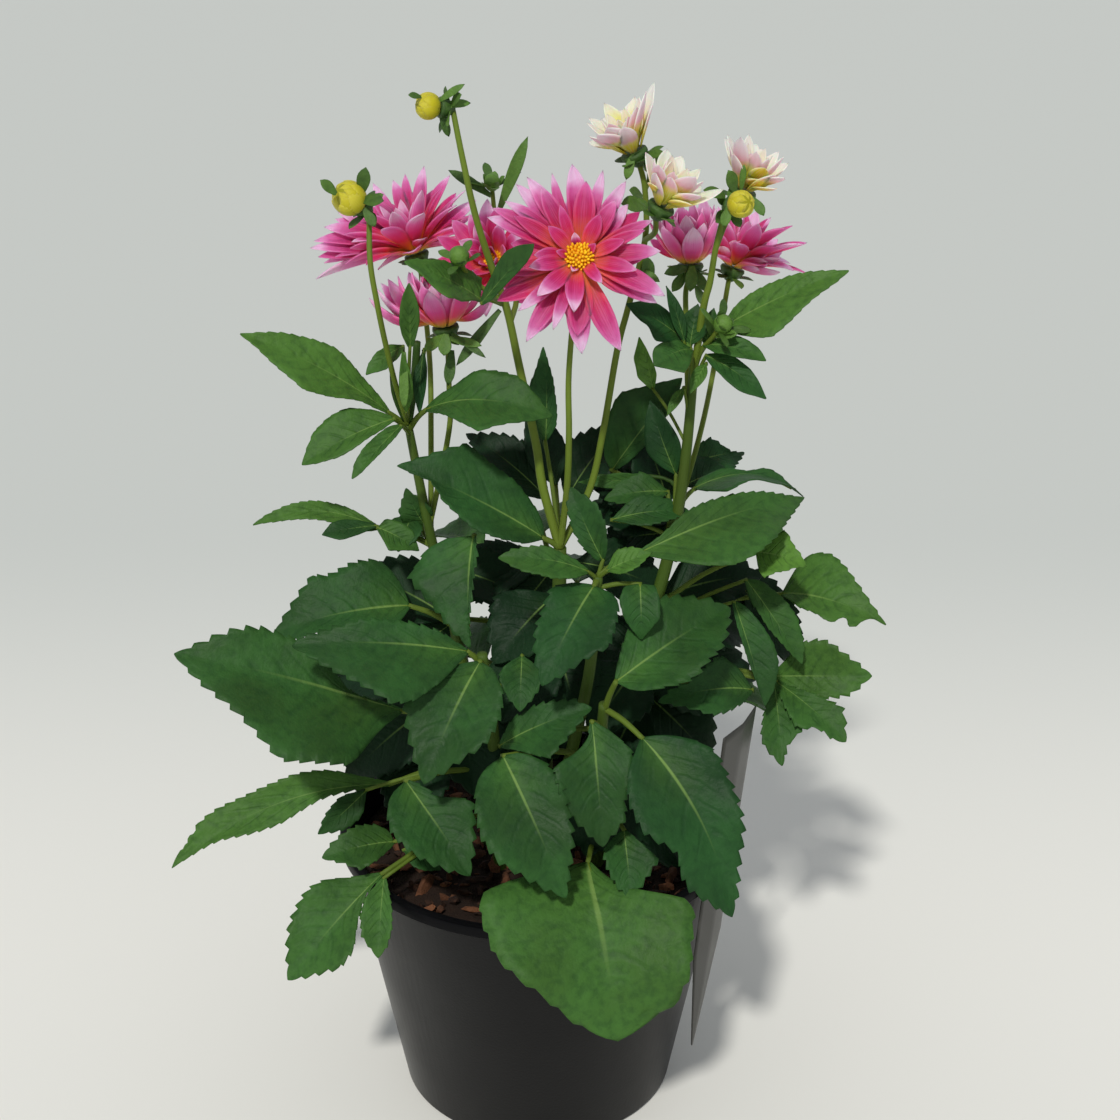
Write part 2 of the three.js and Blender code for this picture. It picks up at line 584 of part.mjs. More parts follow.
// A leaf with the petiole that carries it
function leafWithPetiole(leaf) {
  const base = leaf.from ?? place(leaf.base);
  const tip = leaf.end ?? place(leaf.tip);
  const looks = { ...leaf };
  looks.face = leaf.face ? new THREE.Vector3(...leaf.face).normalize() : LEAF_FACE;
  return leafSolid(stemAt(leaf.on, leaf.join), base, tip, leaf.width, looks);
}

// Small green buds: where each sits, the way it looks and its size, with narrow bracts
const GREEN_BUDS = [
  { on: 'centre', by: [[514, 365, 0], [503, 330, 44], [500, 290, 62], [497, 240, 60]], at: [492, 182, 52],
    looks: [0, -0.3, 0.95], radius: 4.5, seed: 41 },
  { on: 'centre', by: [[493, 270, -8], [478, 274, -16]], at: [456, 264, -24], looks: [-0.4, -0.8, 0.4],
    radius: 5, seed: 42 },
  { on: 'centre', by: [[645, 190, 8], [649, 180, 12]], at: [652, 161, 14], looks: [0.2, -0.1, 0.9],
    radius: 5.5, bract: 10, seed: 43 },
  { on: 'right', by: [[695, 356, 4], [712, 338, -6]], at: [723, 324, -12], looks: [0.5, -0.5, 0.7],
    radius: 5, seed: 44 },
];

function greenBud({ by, at, looks, radius, seed, bract = 17 }) {
  const centre = place(at);
  const axis = new THREE.Vector3(...looks).normalize();
  const neck = centre.clone().addScaledVector(axis, -radius);
  const bud = petalCrown({
    centre, axis, seed, count: 4, seat: -0.7 * radius, ring: 0.6 * radius,
    layers: [{ length: bract, width: 5, rise: 25 }],
    crest: [[radius, 0], [0.7 * radius, 0.7 * radius]],
    keel: [[0.3 * radius, -1.2 * radius]],
  });
  return stalk([...by.map(place), neck], 1.3, 1.2, 4).add(bud);
}

// One leafy stem with all that grows on it
function leafyStem(name) {
  const { run, radii } = STEMS[name];
  const parts = [stalk(run, radii[0], radii[1], 6)];
  for (const leaf of [...LEAVES, ...backLeaves()].filter((one) => one.on === name)) {
    parts.push(leafWithPetiole(leaf));
  }
  for (const one of STALKS.filter((each) => each.on === name)) {
    const points = [stemAt(name, one.join), ...one.by.map(place), stalkTop(one.to)];
    parts.push(stalk(points, one.thick ?? STALK_RADIUS, 1.4, 4));
  }
  for (const one of BRANCHES.filter((each) => each.on === name)) {
    parts.push(stalk([...one.by.map(place), stalkTop(one.to)], STALK_RADIUS, 1.4, 4));
  }
  const grown = (list) => list.filter((each) => each.on === name);
  for (const one of grown([...STALKS, ...BRANCHES])) parts.push(greenCup(one.to));
  for (const one of grown(GREEN_BUDS)) parts.push(greenBud(one));
  return join(parts);
}

// Pot: one turned wall with a rolled rim, a raised floor and drainage holes
function potSolid() {
  const outline = [
    [0, 0], [BASE_RADIUS, 0],
    [WALL_TOP_RADIUS, POT_HEIGHT - RIM_HEIGHT], [RIM_RADIUS, POT_HEIGHT - RIM_HEIGHT],
    [RIM_RADIUS, POT_HEIGHT - RIM_ROUND], [RIM_RADIUS - RIM_ROUND, POT_HEIGHT],
    [WALL_TOP_RADIUS - WALL, POT_HEIGHT],
    [WALL_TOP_RADIUS - WALL, POT_HEIGHT - RIM_HEIGHT], [BASE_RADIUS - WALL, FLOOR], [0, FLOOR],
  ];
  const shell = turned(outline, new THREE.Vector3(), new THREE.Vector3(0, 0, 1), POT_SIDES);
  const holes = [];
  for (let k = 0; k < DRAIN_COUNT; k++) {
    const turn = 2 * Math.PI * k / DRAIN_COUNT;
    const hole = new THREE.CylinderGeometry(DRAIN_RADIUS, DRAIN_RADIUS, 4 * FLOOR, 12);
    hole.rotateX(Math.PI / 2);
    hole.translate(DRAIN_RING * Math.cos(turn), DRAIN_RING * Math.sin(turn), FLOOR / 2);
    holes.push(solidOf(hole));
  }
  return shell.subtract(join(holes));
}

// Radius of the pot's inner wall at a height
function innerRadius(height) {
  const slope = (WALL_TOP_RADIUS - BASE_RADIUS) / (POT_HEIGHT - RIM_HEIGHT - FLOOR);
  return BASE_RADIUS - WALL + slope * (height - FLOOR);
}

// Soil: a cone that fills the pot, with a lumpy top and a plain hole for each stem
function soilSolid() {
  const draw = makeDraw(5);
  const outline = [[0, FLOOR + GAP], [innerRadius(FLOOR) - 2 * GAP, FLOOR + GAP]];
  for (const part of [1, 0.78, 0.55, 0.3]) {
    outline.push([(innerRadius(SOIL_LEVEL - SOIL_DOME) - 4 * GAP) * part, SOIL_LEVEL - SOIL_DOME * part]);
  }
  outline.push([0, SOIL_LEVEL]);
  const points = outline.map(([radius, height]) => new THREE.Vector2(radius, height));
  const geometry = new THREE.LatheGeometry(points, SOIL_SIDES);
  geometry.rotateX(Math.PI / 2);
  geometry.deleteAttribute('normal');
  geometry.deleteAttribute('uv');
  const body = mergeVertices(geometry, 1e-3);
  const corners = body.attributes.position;
  for (let i = 0; i < corners.count; i++) {
    const radius = Math.hypot(corners.getX(i), corners.getY(i));
    if (corners.getZ(i) > SOIL_LEVEL - 4 && radius < innerRadius(SOIL_LEVEL) - 6) {
      corners.setZ(i, corners.getZ(i) + draw(-SOIL_LUMP, SOIL_LUMP));
    }
  }
  const holes = Object.values(STEMS).map(({ run, radii }) => {
    const low = run[0].clone().lerp(run[1], -GAP / run[0].distanceTo(run[1]));
    return stalk([low, ...run.slice(1)], radii[0] + HOLE_GAP, radii[1] + HOLE_GAP, 6);
  });
  return solidFrom(corners.array, body.index.array).subtract(join(holes));
}

// Label: a plain tapered plastic label that hangs on the rim by a folded hook and leans out at its top
const LABEL = {
  turn: -29, lean: 5.7, stand: 0.8, hook: 8, thick: 0.8,
  top: 266, shoulder: 121, tip: 45, width: 42, waist: 35,
};

function labelSolid() {
  const { thick, top, shoulder, tip, width, waist, stand, hook } = LABEL;
  const outline = new THREE.Shape();
  outline.moveTo(-width / 2, top);
  outline.lineTo(width / 2, top);
  outline.lineTo(waist / 2, shoulder);
  outline.lineTo(thick, tip);
  outline.lineTo(-thick, tip);
  outline.lineTo(-waist / 2, shoulder);
  outline.closePath();
  const blade = new THREE.ExtrudeGeometry(outline, { depth: thick, bevelEnabled: false });
  blade.rotateX(Math.PI / 2);
  blade.rotateZ(Math.PI / 2);
  blade.translate(0, 0, -POT_HEIGHT);
  blade.rotateY(THREE.MathUtils.degToRad(LABEL.lean));
  blade.translate(RIM_RADIUS + stand, 0, POT_HEIGHT);
  const inner = WALL_TOP_RADIUS - WALL - 3 * GAP;
  const outer = RIM_RADIUS + stand + thick / 2;
  const seat = POT_HEIGHT + GAP;
  const fold = new THREE.Shape();
  fold.moveTo(inner - thick, POT_HEIGHT - hook);
  fold.lineTo(inner, POT_HEIGHT - hook);
  fold.lineTo(inner, seat);
  fold.lineTo(outer, seat);
  fold.lineTo(outer, seat + thick);
  fold.lineTo(inner - thick, seat + thick);
  fold.closePath();
  const strip = new THREE.ExtrudeGeometry(fold, { depth: hook, bevelEnabled: false });
  strip.rotateX(Math.PI / 2);
  strip.translate(0, hook / 2, 0);
  return solidOf(blade).add(solidOf(strip)).rotate([0, 0, LABEL.turn]);
}

// Scene graph
const FINISH = {
  plastic: { color: 0x33343a, roughness: 0.38 },
  soil: { color: 0x4a2d1c, roughness: 0.95 },
  leaf: { color: 0x2f6b2a, roughness: 0.5 },
  petal: { color: 0xe0559c, roughness: 0.6 },
  cream: { color: 0xf0e6d2, roughness: 0.6 },
  yellow: { color: 0xe9c21f, roughness: 0.6 },
  bud: { color: 0xc6cf2c, roughness: 0.55 },
  label: { color: 0xb8aca6, roughness: 0.5 },
};

const dahlia = new THREE.Group();

function addPiece(name, solid, finish) {
  const { vertProperties, triVerts } = solid.getMesh();
  const geometry = new THREE.BufferGeometry();
  geometry.setAttribute('position', new THREE.BufferAttribute(Float32Array.from(vertProperties), 3));
  geometry.setIndex(Array.from(triVerts));
  geometry.computeVertexNormals();
  const material = new THREE.MeshStandardMaterial({ ...FINISH[finish], metalness: 0 });
  const piece = new THREE.Mesh(geometry, material);
  piece.name = name;
  dahlia.add(piece);
}

addPiece('pot', potSolid(), 'plastic');
addPiece('soil', soilSolid(), 'soil');
addPiece('label', labelSolid(), 'label');
for (const name of Object.keys(STEMS)) addPiece(`stem_${name}`, leafyStem(name), 'leaf');
for (const [name, bloom] of Object.entries(BLOOMS)) {
  addPiece(`petals_${name}`, petalCrown(bloom), 'petal');
  addPiece(`disc_${name}`, discOf(bloom), 'yellow');
}
for (const [name, flower] of Object.entries(OPENING)) {
  addPiece(`opening_${name}`, petalCrown({ ...flower, layers: OPENING_LAYERS, count: 5 }), 'cream');
}
for (const [name, bud] of Object.entries(BUDS)) addPiece(`bud_${name}`, budBall(bud), 'bud');

export default dahlia;
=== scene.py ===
# A potted dahlia: toothed leaves, layered pink blooms, half-open cream flowers and yellow buds in a dark
# plastic nursery pot. Tables are in mm and view places, and every mesh is made in metres in the CAD's frame.
import math
import random

import bmesh
import bpy
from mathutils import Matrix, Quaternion, Vector, noise


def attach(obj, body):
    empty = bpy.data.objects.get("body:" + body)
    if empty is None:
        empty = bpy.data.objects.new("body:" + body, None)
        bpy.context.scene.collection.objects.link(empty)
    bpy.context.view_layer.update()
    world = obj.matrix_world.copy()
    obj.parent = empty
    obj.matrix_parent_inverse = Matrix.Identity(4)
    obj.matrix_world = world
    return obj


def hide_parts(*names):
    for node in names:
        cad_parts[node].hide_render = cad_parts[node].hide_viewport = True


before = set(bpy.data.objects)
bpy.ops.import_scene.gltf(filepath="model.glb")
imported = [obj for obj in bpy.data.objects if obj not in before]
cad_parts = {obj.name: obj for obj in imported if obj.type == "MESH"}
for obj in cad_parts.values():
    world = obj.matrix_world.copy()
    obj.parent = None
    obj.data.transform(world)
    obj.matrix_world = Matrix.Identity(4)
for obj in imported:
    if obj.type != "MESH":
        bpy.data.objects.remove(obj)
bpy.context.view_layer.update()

MM = 0.001
UP = Vector((0, 0, 1))
# Points nearer than this are made one: at a sheet's seam, and at the pole of a turned body
SEAM = 0.001 * MM
POLE = 0.005 * MM

# View that the places of leaves, stalks and blooms are given in: column, row and depth in mm
EYE = Vector((13.5, -969, 752)) * MM
EYE_PITCH = math.radians(23.33)
EYE_FOCAL = 1911
EYE_CENTRE = 560
SENSOR_WIDTH = 36


def view_ray(column, row):
    across = (column - EYE_CENTRE) / EYE_FOCAL
    rise = (EYE_CENTRE - row) / EYE_FOCAL
    away = math.cos(EYE_PITCH) + rise * math.sin(EYE_PITCH)
    up = rise * math.cos(EYE_PITCH) - math.sin(EYE_PITCH)
    return Vector((across, away, up))


def place(spot):
    column, row, depth = spot
    ray = view_ray(column, row)
    return EYE + ray * ((depth * MM - EYE.y) / ray.y)


def on_plane(column, row, point, normal):
    ray = view_ray(column, row)
    return EYE + ray * ((point - EYE).dot(normal) / ray.dot(normal))


# Scene, camera and light
def put_in_scene(name, data):
    thing = bpy.data.objects.new(name, data)
    bpy.context.scene.collection.objects.link(thing)
    return thing


def make_camera():
    data = bpy.data.cameras.new("camera")
    data.sensor_width = SENSOR_WIDTH
    data.lens = SENSOR_WIDTH * EYE_FOCAL / (2 * EYE_CENTRE)
    camera = put_in_scene("camera", data)
    camera.location = EYE
    camera.rotation_euler = (math.pi / 2 - EYE_PITCH, 0, 0)
    bpy.context.scene.camera = camera
    bpy.context.scene.view_settings.view_transform = "Standard"


def make_sun(name, way, spread, strength, colour):
    data = bpy.data.lights.new(name, "SUN")
    data.angle = math.radians(spread)
    data.energy = strength
    data.color = colour
    put_in_scene(name, data).rotation_euler = Vector(way).to_track_quat("-Z", "Y").to_euler()


def srgb(red, green, blue):
    linear = []
    for level in (red, green, blue):
        part = level / 255
        linear.append(part / 12.92 if part <= 0.04045 else ((part + 0.055) / 1.055) ** 2.4)
    return (*linear, 1)


# Finishes
class Finish:
    """One material, with short calls for the nodes of its pattern."""

    def __init__(self, name, colour, roughness, specular=0.5, sheen=0.0, soft=0.0):
        self.material = bpy.data.materials.new(name)
        self.material.use_nodes = True
        self.nodes = self.material.node_tree.nodes
        self.links = self.material.node_tree.links
        self.shader = self.nodes["Principled BSDF"]
        self.set("Base Color", colour)
        self.set("Roughness", roughness)
        self.set("Specular IOR Level", specular)
        self.set("Sheen Weight", sheen)
        self.set("Subsurface Weight", soft)
        self.set("Subsurface Radius", (1.0, 0.5, 0.7))
        self.set("Subsurface Scale", 0.004)

    def set(self, socket, value):
        self.feed(self.shader.inputs[socket], value)

    def feed(self, target, value):
        if isinstance(value, bpy.types.NodeSocket):
            self.links.new(value, target)
        else:
            target.default_value = value

    def math(self, operation, first, second=0.0, third=0.0, clamp=False):
        node = self.nodes.new("ShaderNodeMath")
        node.operation = operation
        node.use_clamp = clamp
        for target, value in zip(node.inputs, (first, second, third)):
            self.feed(target, value)
        return node.outputs[0]

    def uv(self):
        node = self.nodes.new("ShaderNodeUVMap")
        node.uv_map = "UVMap"
        parts = self.nodes.new("ShaderNodeSeparateXYZ")
        self.links.new(node.outputs[0], parts.inputs[0])
        return node.outputs[0], parts.outputs[0], parts.outputs[1]

    def off_middle(self, column):
        """0 on a blade's midline and 1 at either edge."""
        return self.math("ABSOLUTE", self.math("MULTIPLY_ADD", column, 2.0, -1.0))

    def tone(self):
        node = self.nodes.new("ShaderNodeAttribute")
        node.attribute_name = "tone"
        return node.outputs["Fac"]

    def coordinates(self):
        return self.nodes.new("ShaderNodeTexCoord").outputs["Object"]

    def mapped(self, vector, scale):
        node = self.nodes.new("ShaderNodeMapping")
        self.links.new(vector, node.inputs["Vector"])
        node.inputs["Scale"].default_value = scale
        return node.outputs[0]

    def noise(self, vector, scale, detail=3.0, roughness=0.55):
        node = self.nodes.new("ShaderNodeTexNoise")
        self.links.new(vector, node.inputs["Vector"])
        node.inputs["Scale"].default_value = scale
        node.inputs["Detail"].default_value = detail
        node.inputs["Roughness"].default_value = roughness
        return node.outputs["Fac"]

    def ramp(self, factor, stops):
        node = self.nodes.new("ShaderNodeValToRGB")
        self.links.new(factor, node.inputs["Fac"])
        points = node.color_ramp.elements
        while len(points) < len(stops):
            points.new(1.0)
        for point, (position, colour) in zip(points, stops):
            point.position = position
            point.color = colour
        return node.outputs["Color"]

    def span(self, value, low, high, start=0.0, end=1.0):
        node = self.nodes.new("ShaderNodeMapRange")
        node.interpolation_type = "SMOOTHSTEP"
        for target, level in zip(node.inputs, (value, low, high, start, end)):
            self.feed(target, level)
        return node.outputs[0]

    def mix(self, factor, first, second):
        node = self.nodes.new("ShaderNodeMix")
        node.data_type = "RGBA"
        self.feed(node.inputs["Factor"], factor)
        self.feed(node.inputs[6], first)
        self.feed(node.inputs[7], second)
        return node.outputs[2]

    def bump(self, height, strength, distance):
        node = self.nodes.new("ShaderNodeBump")
        self.links.new(height, node.inputs["Height"])
        node.inputs["Strength"].default_value = strength
        node.inputs["Distance"].default_value = distance
        self.links.new(node.outputs[0], self.shader.inputs["Normal"])


# Side veins leave the midrib every 1/VEINS of a blade and lean towards its tip
VEINS = 7
VEIN_SLANT = 0.3
# Yellow-green of young leaves, used near each blade's base and as painted light on leaves of high tone
LEAF_YOUNG_AND_LIT = srgb(90, 132, 50)
# Painted shade: the near-black green that leaves with a tone under 0.06 take on
LEAF_PAINTED_SHADE = srgb(14, 32, 18)
STALK_BROWN = srgb(72, 74, 30)


def leaf_finish(name, light, dark, vein, roughness):
    finish = Finish(name, dark, roughness, specular=0.14)
    _, column, row = finish.uv()
    spot = finish.coordinates()
    reach = finish.off_middle(column)
    swept = finish.math("POWER", reach, 1.25)
    wander = finish.noise(spot, 55, 2.0)
    strayed = finish.math("MULTIPLY_ADD", wander, 0.09, row)
    slanted = finish.math("MULTIPLY_ADD", swept, -VEIN_SLANT, strayed)
    wave = finish.math("FRACT", finish.math("MULTIPLY", slanted, VEINS))
    gap = finish.math("MINIMUM", wave, finish.math("SUBTRACT", 1.0, wave))
    inside = finish.span(reach, 0.3, 0.9, 1.0, 0.0)
    before_tip = finish.span(row, 0.6, 0.85, 1.0, 0.0)
    side_vein = finish.math("MULTIPLY", finish.span(gap, 0.0, 0.2, 1.0, 0.0), inside)
    side_vein = finish.math("MULTIPLY", side_vein, before_tip)
    rib_width = finish.math("MULTIPLY_ADD", row, -0.024, 0.036)
    midrib = finish.span(finish.math("DIVIDE", reach, rib_width), 0.4, 1.5, 0.85, 0.0)
    mottle = finish.noise(spot, 22, 5.0)
    wrinkle = finish.noise(spot, 190, 5.0, 0.6)
    body = finish.mix(finish.span(mottle, 0.3, 0.7), dark, light)
    # Partly painted light: a high tone lightens the leaf towards yellow-green, for youth and for light or
    # sheen
    young_and_lit = finish.mix(finish.tone(), body, LEAF_YOUNG_AND_LIT)
    near_rib = finish.span(reach, 0.0, 0.8, 1.0, 0.0)
    towards_base = finish.math("MULTIPLY", finish.span(row, 0.0, 0.5, 0.3, 0.0), near_rib)
    warm = finish.mix(towards_base, young_and_lit, LEAF_YOUNG_AND_LIT)
    # Painted shade: a tone under 0.06 darkens the leaf towards near-black
    painted_shade = finish.mix(finish.span(finish.tone(), 0.0, 0.06, 0.75, 0.0), warm, LEAF_PAINTED_SHADE)
    # Painted shade: the leaf darkens towards its dark green in the wrinkles and along the grooves of the side
    # veins
    groove_shade = finish.math("MULTIPLY", side_vein, 0.16)
    crease = finish.math("MULTIPLY_ADD", finish.span(wrinkle, 0.4, 0.7), 0.35, groove_shade)
    crease_shaded = finish.mix(crease, painted_shade, dark)
    rib_colour = finish.mix(finish.span(row, 0.1, 0.75), vein, crease_shaded)
    finish.set("Base Color", finish.mix(midrib, crease_shaded, rib_colour))
    relief = finish.math("MULTIPLY_ADD", side_vein, -0.3, finish.math("MULTIPLY", wrinkle, -0.9))
    finish.bump(relief, 0.75, 0.0012)
    finish.set("Roughness", finish.span(mottle, 0.2, 0.8, roughness - 0.06, roughness + 0.08))
    return finish.material


def stalk_finish(name, low, high):
    finish = Finish(name, low, 0.55, specular=0.2)
    vector, _, _ = finish.uv()
    spot = finish.coordinates()
    ridges = finish.noise(finish.mapped(vector, (26, 1.5, 1)), 1.0, 2.0)
    blotch = finish.noise(spot, 45, 3.0)
    body = finish.mix(finish.tone(), low, high)
    finish.set("Base Color", finish.mix(finish.span(blotch, 0.35, 0.75, 0.0, 0.22), body, STALK_BROWN))
    finish.bump(ridges, 0.4, 0.0006)
    return finish.material


def petal_finish(name, stops, edge, streak, edge_strength, soft=0.8):
    finish = Finish(name, stops[0][1], 0.5, specular=0.25, sheen=0.06, soft=soft)
    vector, column, row = finish.uv()
    reach = finish.off_middle(column)
    wander = finish.noise(finish.coordinates(), 130, 2.0)
    shifted = finish.math("ADD", row, finish.math("MULTIPLY_ADD", wander, 0.16, -0.08))
    # Tone moves the colours along the petal: high tones give paler petals, and the lowest are partly painted
    # shade
    tint_and_shade = finish.math("MULTIPLY", finish.math("MULTIPLY_ADD", finish.tone(), 0.6, -0.3), row)
    along = finish.math("ADD", shifted, tint_and_shade, clamp=True)
    body = finish.ramp(along, stops)
    lines = finish.noise(finish.mapped(vector, (14, 1.3, 1)), 1.0, 3.0)
    streaked = finish.mix(finish.span(lines, 0.45, 0.75, 0.0, 0.45), body, streak)
    rim = finish.math("MULTIPLY", finish.span(reach, 0.62, 1.0), finish.span(row, 0.2, 0.75))
    finish.set("Base Color", finish.mix(finish.math("MULTIPLY", rim, edge_strength), streaked, edge))
    finish.bump(lines, 0.35, 0.0007)
    return finish.material


# Petal colours from the core, 0, to the tip, 1
PINK_STOPS = [
    (0.0, srgb(246, 168, 20)),
    (0.12, srgb(238, 116, 30)),
    (0.26, srgb(226, 78, 62)),
    (0.46, srgb(194, 24, 78)),
    (0.68, srgb(178, 36, 104)),
    (0.86, srgb(198, 90, 148)),
    (1.0, srgb(232, 172, 208)),
]
# Petal backs are paler than the faces. This is partly their own colour and partly painted light that lifts
# backs lying in shade
PINK_BACK_STOPS = [
    (0.0, srgb(232, 190, 30)),
    (0.16, srgb(238, 136, 50)),
    (0.3, srgb(240, 66, 96)),
    (0.52, srgb(242, 72, 144)),
    (0.8, srgb(250, 130, 192)),
    (1.0, srgb(252, 196, 226)),
]
CREAM_STOPS = [
    (0.0, srgb(176, 164, 14)),
    (0.26, srgb(220, 204, 40)),
    (0.44, srgb(240, 226, 112)),
    (0.64, srgb(246, 230, 198)),
    (1.0, srgb(250, 228, 222)),
]
CREAM_BACK_STOPS = [
    (0.0, srgb(156, 148, 16)),
    (0.32, srgb(214, 194, 34)),
    (0.48, srgb(236, 206, 80)),
    (0.64, srgb(234, 172, 180)),
    (1.0, srgb(246, 212, 220)),
]
BUD_STOPS = [
    (0.0, srgb(146, 142, 14)),
    (0.4, srgb(188, 176, 22)),
    (1.0, srgb(200, 188, 56)),
]


def plain_finish(name, light, dark, roughness, scale, bump_scale, specular):
    finish = Finish(name, dark, roughness, specular=specular)
    spot = finish.coordinates()
    patch = finish.noise(spot, scale, 4.0)
    finish.set("Base Color", finish.mix(finish.span(patch, 0.3, 0.7), dark, light))
    finish.set("Roughness", finish.span(patch, 0.2, 0.8, roughness - 0.05, roughness + 0.07))
    finish.bump(finish.noise(spot, bump_scale, 3.0), 0.5, 0.0001)
    return finish.material


def toned_finish(name, low, high, roughness, scale, bump_scale, bump_distance):
    finish = Finish(name, low, roughness, specular=0.3)
    spot = finish.coordinates()
    grain = finish.noise(spot, scale, 4.0)
    factor = finish.math("ADD", finish.tone(), finish.math("MULTIPLY_ADD", grain, 0.7, -0.35), clamp=True)
    finish.set("Base Color", finish.mix(factor, low, high))
    finish.bump(finish.noise(spot, bump_scale, 5.0), 0.8, bump_distance)
    return finish.material


def floor_finish(near, far):
    finish = Finish("pale_floor", near, 0.8, specular=0.3)
    parts = finish.nodes.new("ShaderNodeSeparateXYZ")
    finish.links.new(finish.coordinates(), parts.inputs[0])
    finish.set("Base Color", finish.mix(finish.span(parts.outputs[1], 0.05, 0.9), near, far))
    return finish.material


def make_finishes():
    return {
        "leaf": leaf_finish(
            "leaf_upper_face", srgb(36, 80, 38), srgb(20, 50, 26), srgb(112, 142, 72), 0.5),
        "leaf_back": leaf_finish(
            "leaf_under_face", srgb(74, 106, 64), srgb(54, 86, 48), srgb(120, 148, 88), 0.62),
        "stalk": stalk_finish("green_stalk", srgb(36, 68, 22), srgb(112, 132, 42)),
        "cup": toned_finish("green_cup", srgb(26, 54, 22), srgb(92, 130, 50), 0.5, 300, 900, 0.0006),
        "pink": petal_finish(
            "pink_petal_face", PINK_STOPS, srgb(232, 164, 202), srgb(220, 96, 156), 0.12),
        "pink_back": petal_finish(
            "pink_petal_back", PINK_BACK_STOPS, srgb(244, 190, 220), srgb(214, 84, 146), 0.3, soft=0.5),
        "cream": petal_finish(
            "cream_petal_face", CREAM_STOPS, srgb(248, 244, 230), srgb(238, 222, 164), 0.3),
        "cream_back": petal_finish(
            "cream_petal_back", CREAM_BACK_STOPS, srgb(248, 236, 230), srgb(232, 190, 198), 0.3),
        "gold": toned_finish(
            "golden_florets", srgb(238, 150, 8), srgb(255, 212, 36), 0.6, 500, 1500, 0.0003),
        "bud": petal_finish(
            "yellow_bud_scale", BUD_STOPS, srgb(206, 196, 92), srgb(176, 168, 24), 0.45, soft=0.1),
        "pot": plain_finish("charcoal_plastic", srgb(10, 10, 12), srgb(7, 7, 9), 0.33, 9, 700, 0.085),
        "peat": toned_finish("dark_peat", srgb(20, 13, 9), srgb(58, 38, 25), 0.92, 140, 700, 0.002),
        "bark": toned_finish("red_bark_chip", srgb(40, 24, 15), srgb(126, 80, 52), 0.8, 260, 900, 0.0012),
        # The label's colours are darker than its own pale plastic: painted shade for the shaded side that it
        # turns to the view
        "label": plain_finish("pale_label", srgb(68, 67, 63), srgb(54, 54, 50), 0.42, 22, 900, 0.28),
        "floor": floor_finish(srgb(231, 230, 223), srgb(199, 202, 197)),
    }


# Mesh making
def new_mesh():
    shape = bmesh.new()
    shape.loops.layers.uv.new("UVMap")
    shape.verts.layers.float.new("tone")
    return shape


def mesh_of(name, shape):
    mesh = bpy.data.meshes.new(name)
    shape.to_mesh(mesh)
    shape.free()
    return mesh


def add_sheet(shape, columns, rows, form, tone=0.5, finish=0):
    """A grid of the unit square bent by form(across -1 to 1, along 0 to 1)."""
    made = bmesh.ops.create_grid(
        shape, x_segments=columns, y_segments=rows, size=1, calc_uvs=True)["verts"]
    layer = shape.verts.layers.float["tone"]
    for vert in made:
        vert.co = form(vert.co.x, (vert.co.y + 1) / 2)
        vert[layer] = tone
    for face in {face for vert in made for face in vert.link_faces}:
        face.material_index = finish
        face.smooth = True
    return made


def smooth_path(points, steps):
    """Points on a Catmull-Rom curve through the given ones."""
    last = len(points) - 1
    path = []
    for index in range(last):
        before = points[max(index - 1, 0)]
        start, end = points[index], points[index + 1]
        after = points[min(index + 2, last)]
        for step in range(steps):
            part = step / steps
            path.append(0.5 * (
                2 * start + (end - before) * part
                + (2 * before - 5 * start + 4 * end - after) * part ** 2
                + (3 * start - before - 3 * end + after) * part ** 3
            ))
    return path + [points[-1]]


def add_stalk(shape, points, radii, sides=10, steps=5, tone=0.5, finish=0):
    """A round stalk along a curve, closed at both ends. Radii are at even steps along it."""
    path = smooth_path(points, steps)
    last = len(path) - 1
    spoke = Vector((1, 0.2, 0.1))
    rings = []
    for index, centre in enumerate(path):
        along = (path[min(index + 1, last)] - path[max(index - 1, 0)]).normalized()
        spoke = (spoke - along * spoke.dot(along)).normalized()
        part = index / last * (len(radii) - 1)
        low = min(int(part), len(radii) - 2)
        radius = radii[low] + (radii[low + 1] - radii[low]) * (part - low)
        rings.append((centre, spoke.copy(), along.cross(spoke), radius))
    rings = [(*rings[0][:3], 0.0), *rings, (*rings[-1][:3], 0.0)]

    def form(across, along):
        centre, side, front, radius = rings[round(along * (last + 2))]
        turn = math.pi * across
        return centre + (side * math.cos(turn) + front * math.sin(turn)) * radius

    made = add_sheet(shape, sides, last + 2, form, tone, finish)
    bmesh.ops.remove_doubles(shape, verts=made, dist=SEAM)


def add_turned(shape, profile, centre, axis, sides, unit=MM, tone=0.5, finish=0):
    """A body turned about an axis from a profile of radius and height, closed where the radius is zero."""
    side = axis.orthogonal().normalized()
    verts = [shape.verts.new(centre + side * (radius * unit) + axis * (height * unit))
             for radius, height in profile]
    edges = [shape.edges.new(pair) for pair in zip(verts, verts[1:])]
    before = set(shape.faces)
    bmesh.ops.spin(
        shape, geom=verts + edges, cent=centre, axis=axis, dvec=(0, 0, 0), angle=2 * math.pi,
        steps=sides, use_merge=True, use_normal_flip=False, use_duplicate=False)
    faces = [face for face in shape.faces if face not in before]
    made = list(dict.fromkeys(vert for face in faces for vert in face.verts))
    bmesh.ops.remove_doubles(shape, verts=made, dist=POLE)
    faces = [face for face in shape.faces if face not in before]
    bmesh.ops.recalc_face_normals(shape, faces=faces)
    layer = shape.verts.layers.float["tone"]
    for face in faces:
        face.material_index = finish
        face.smooth = True
        for vert in face.verts:
            vert[layer] = tone


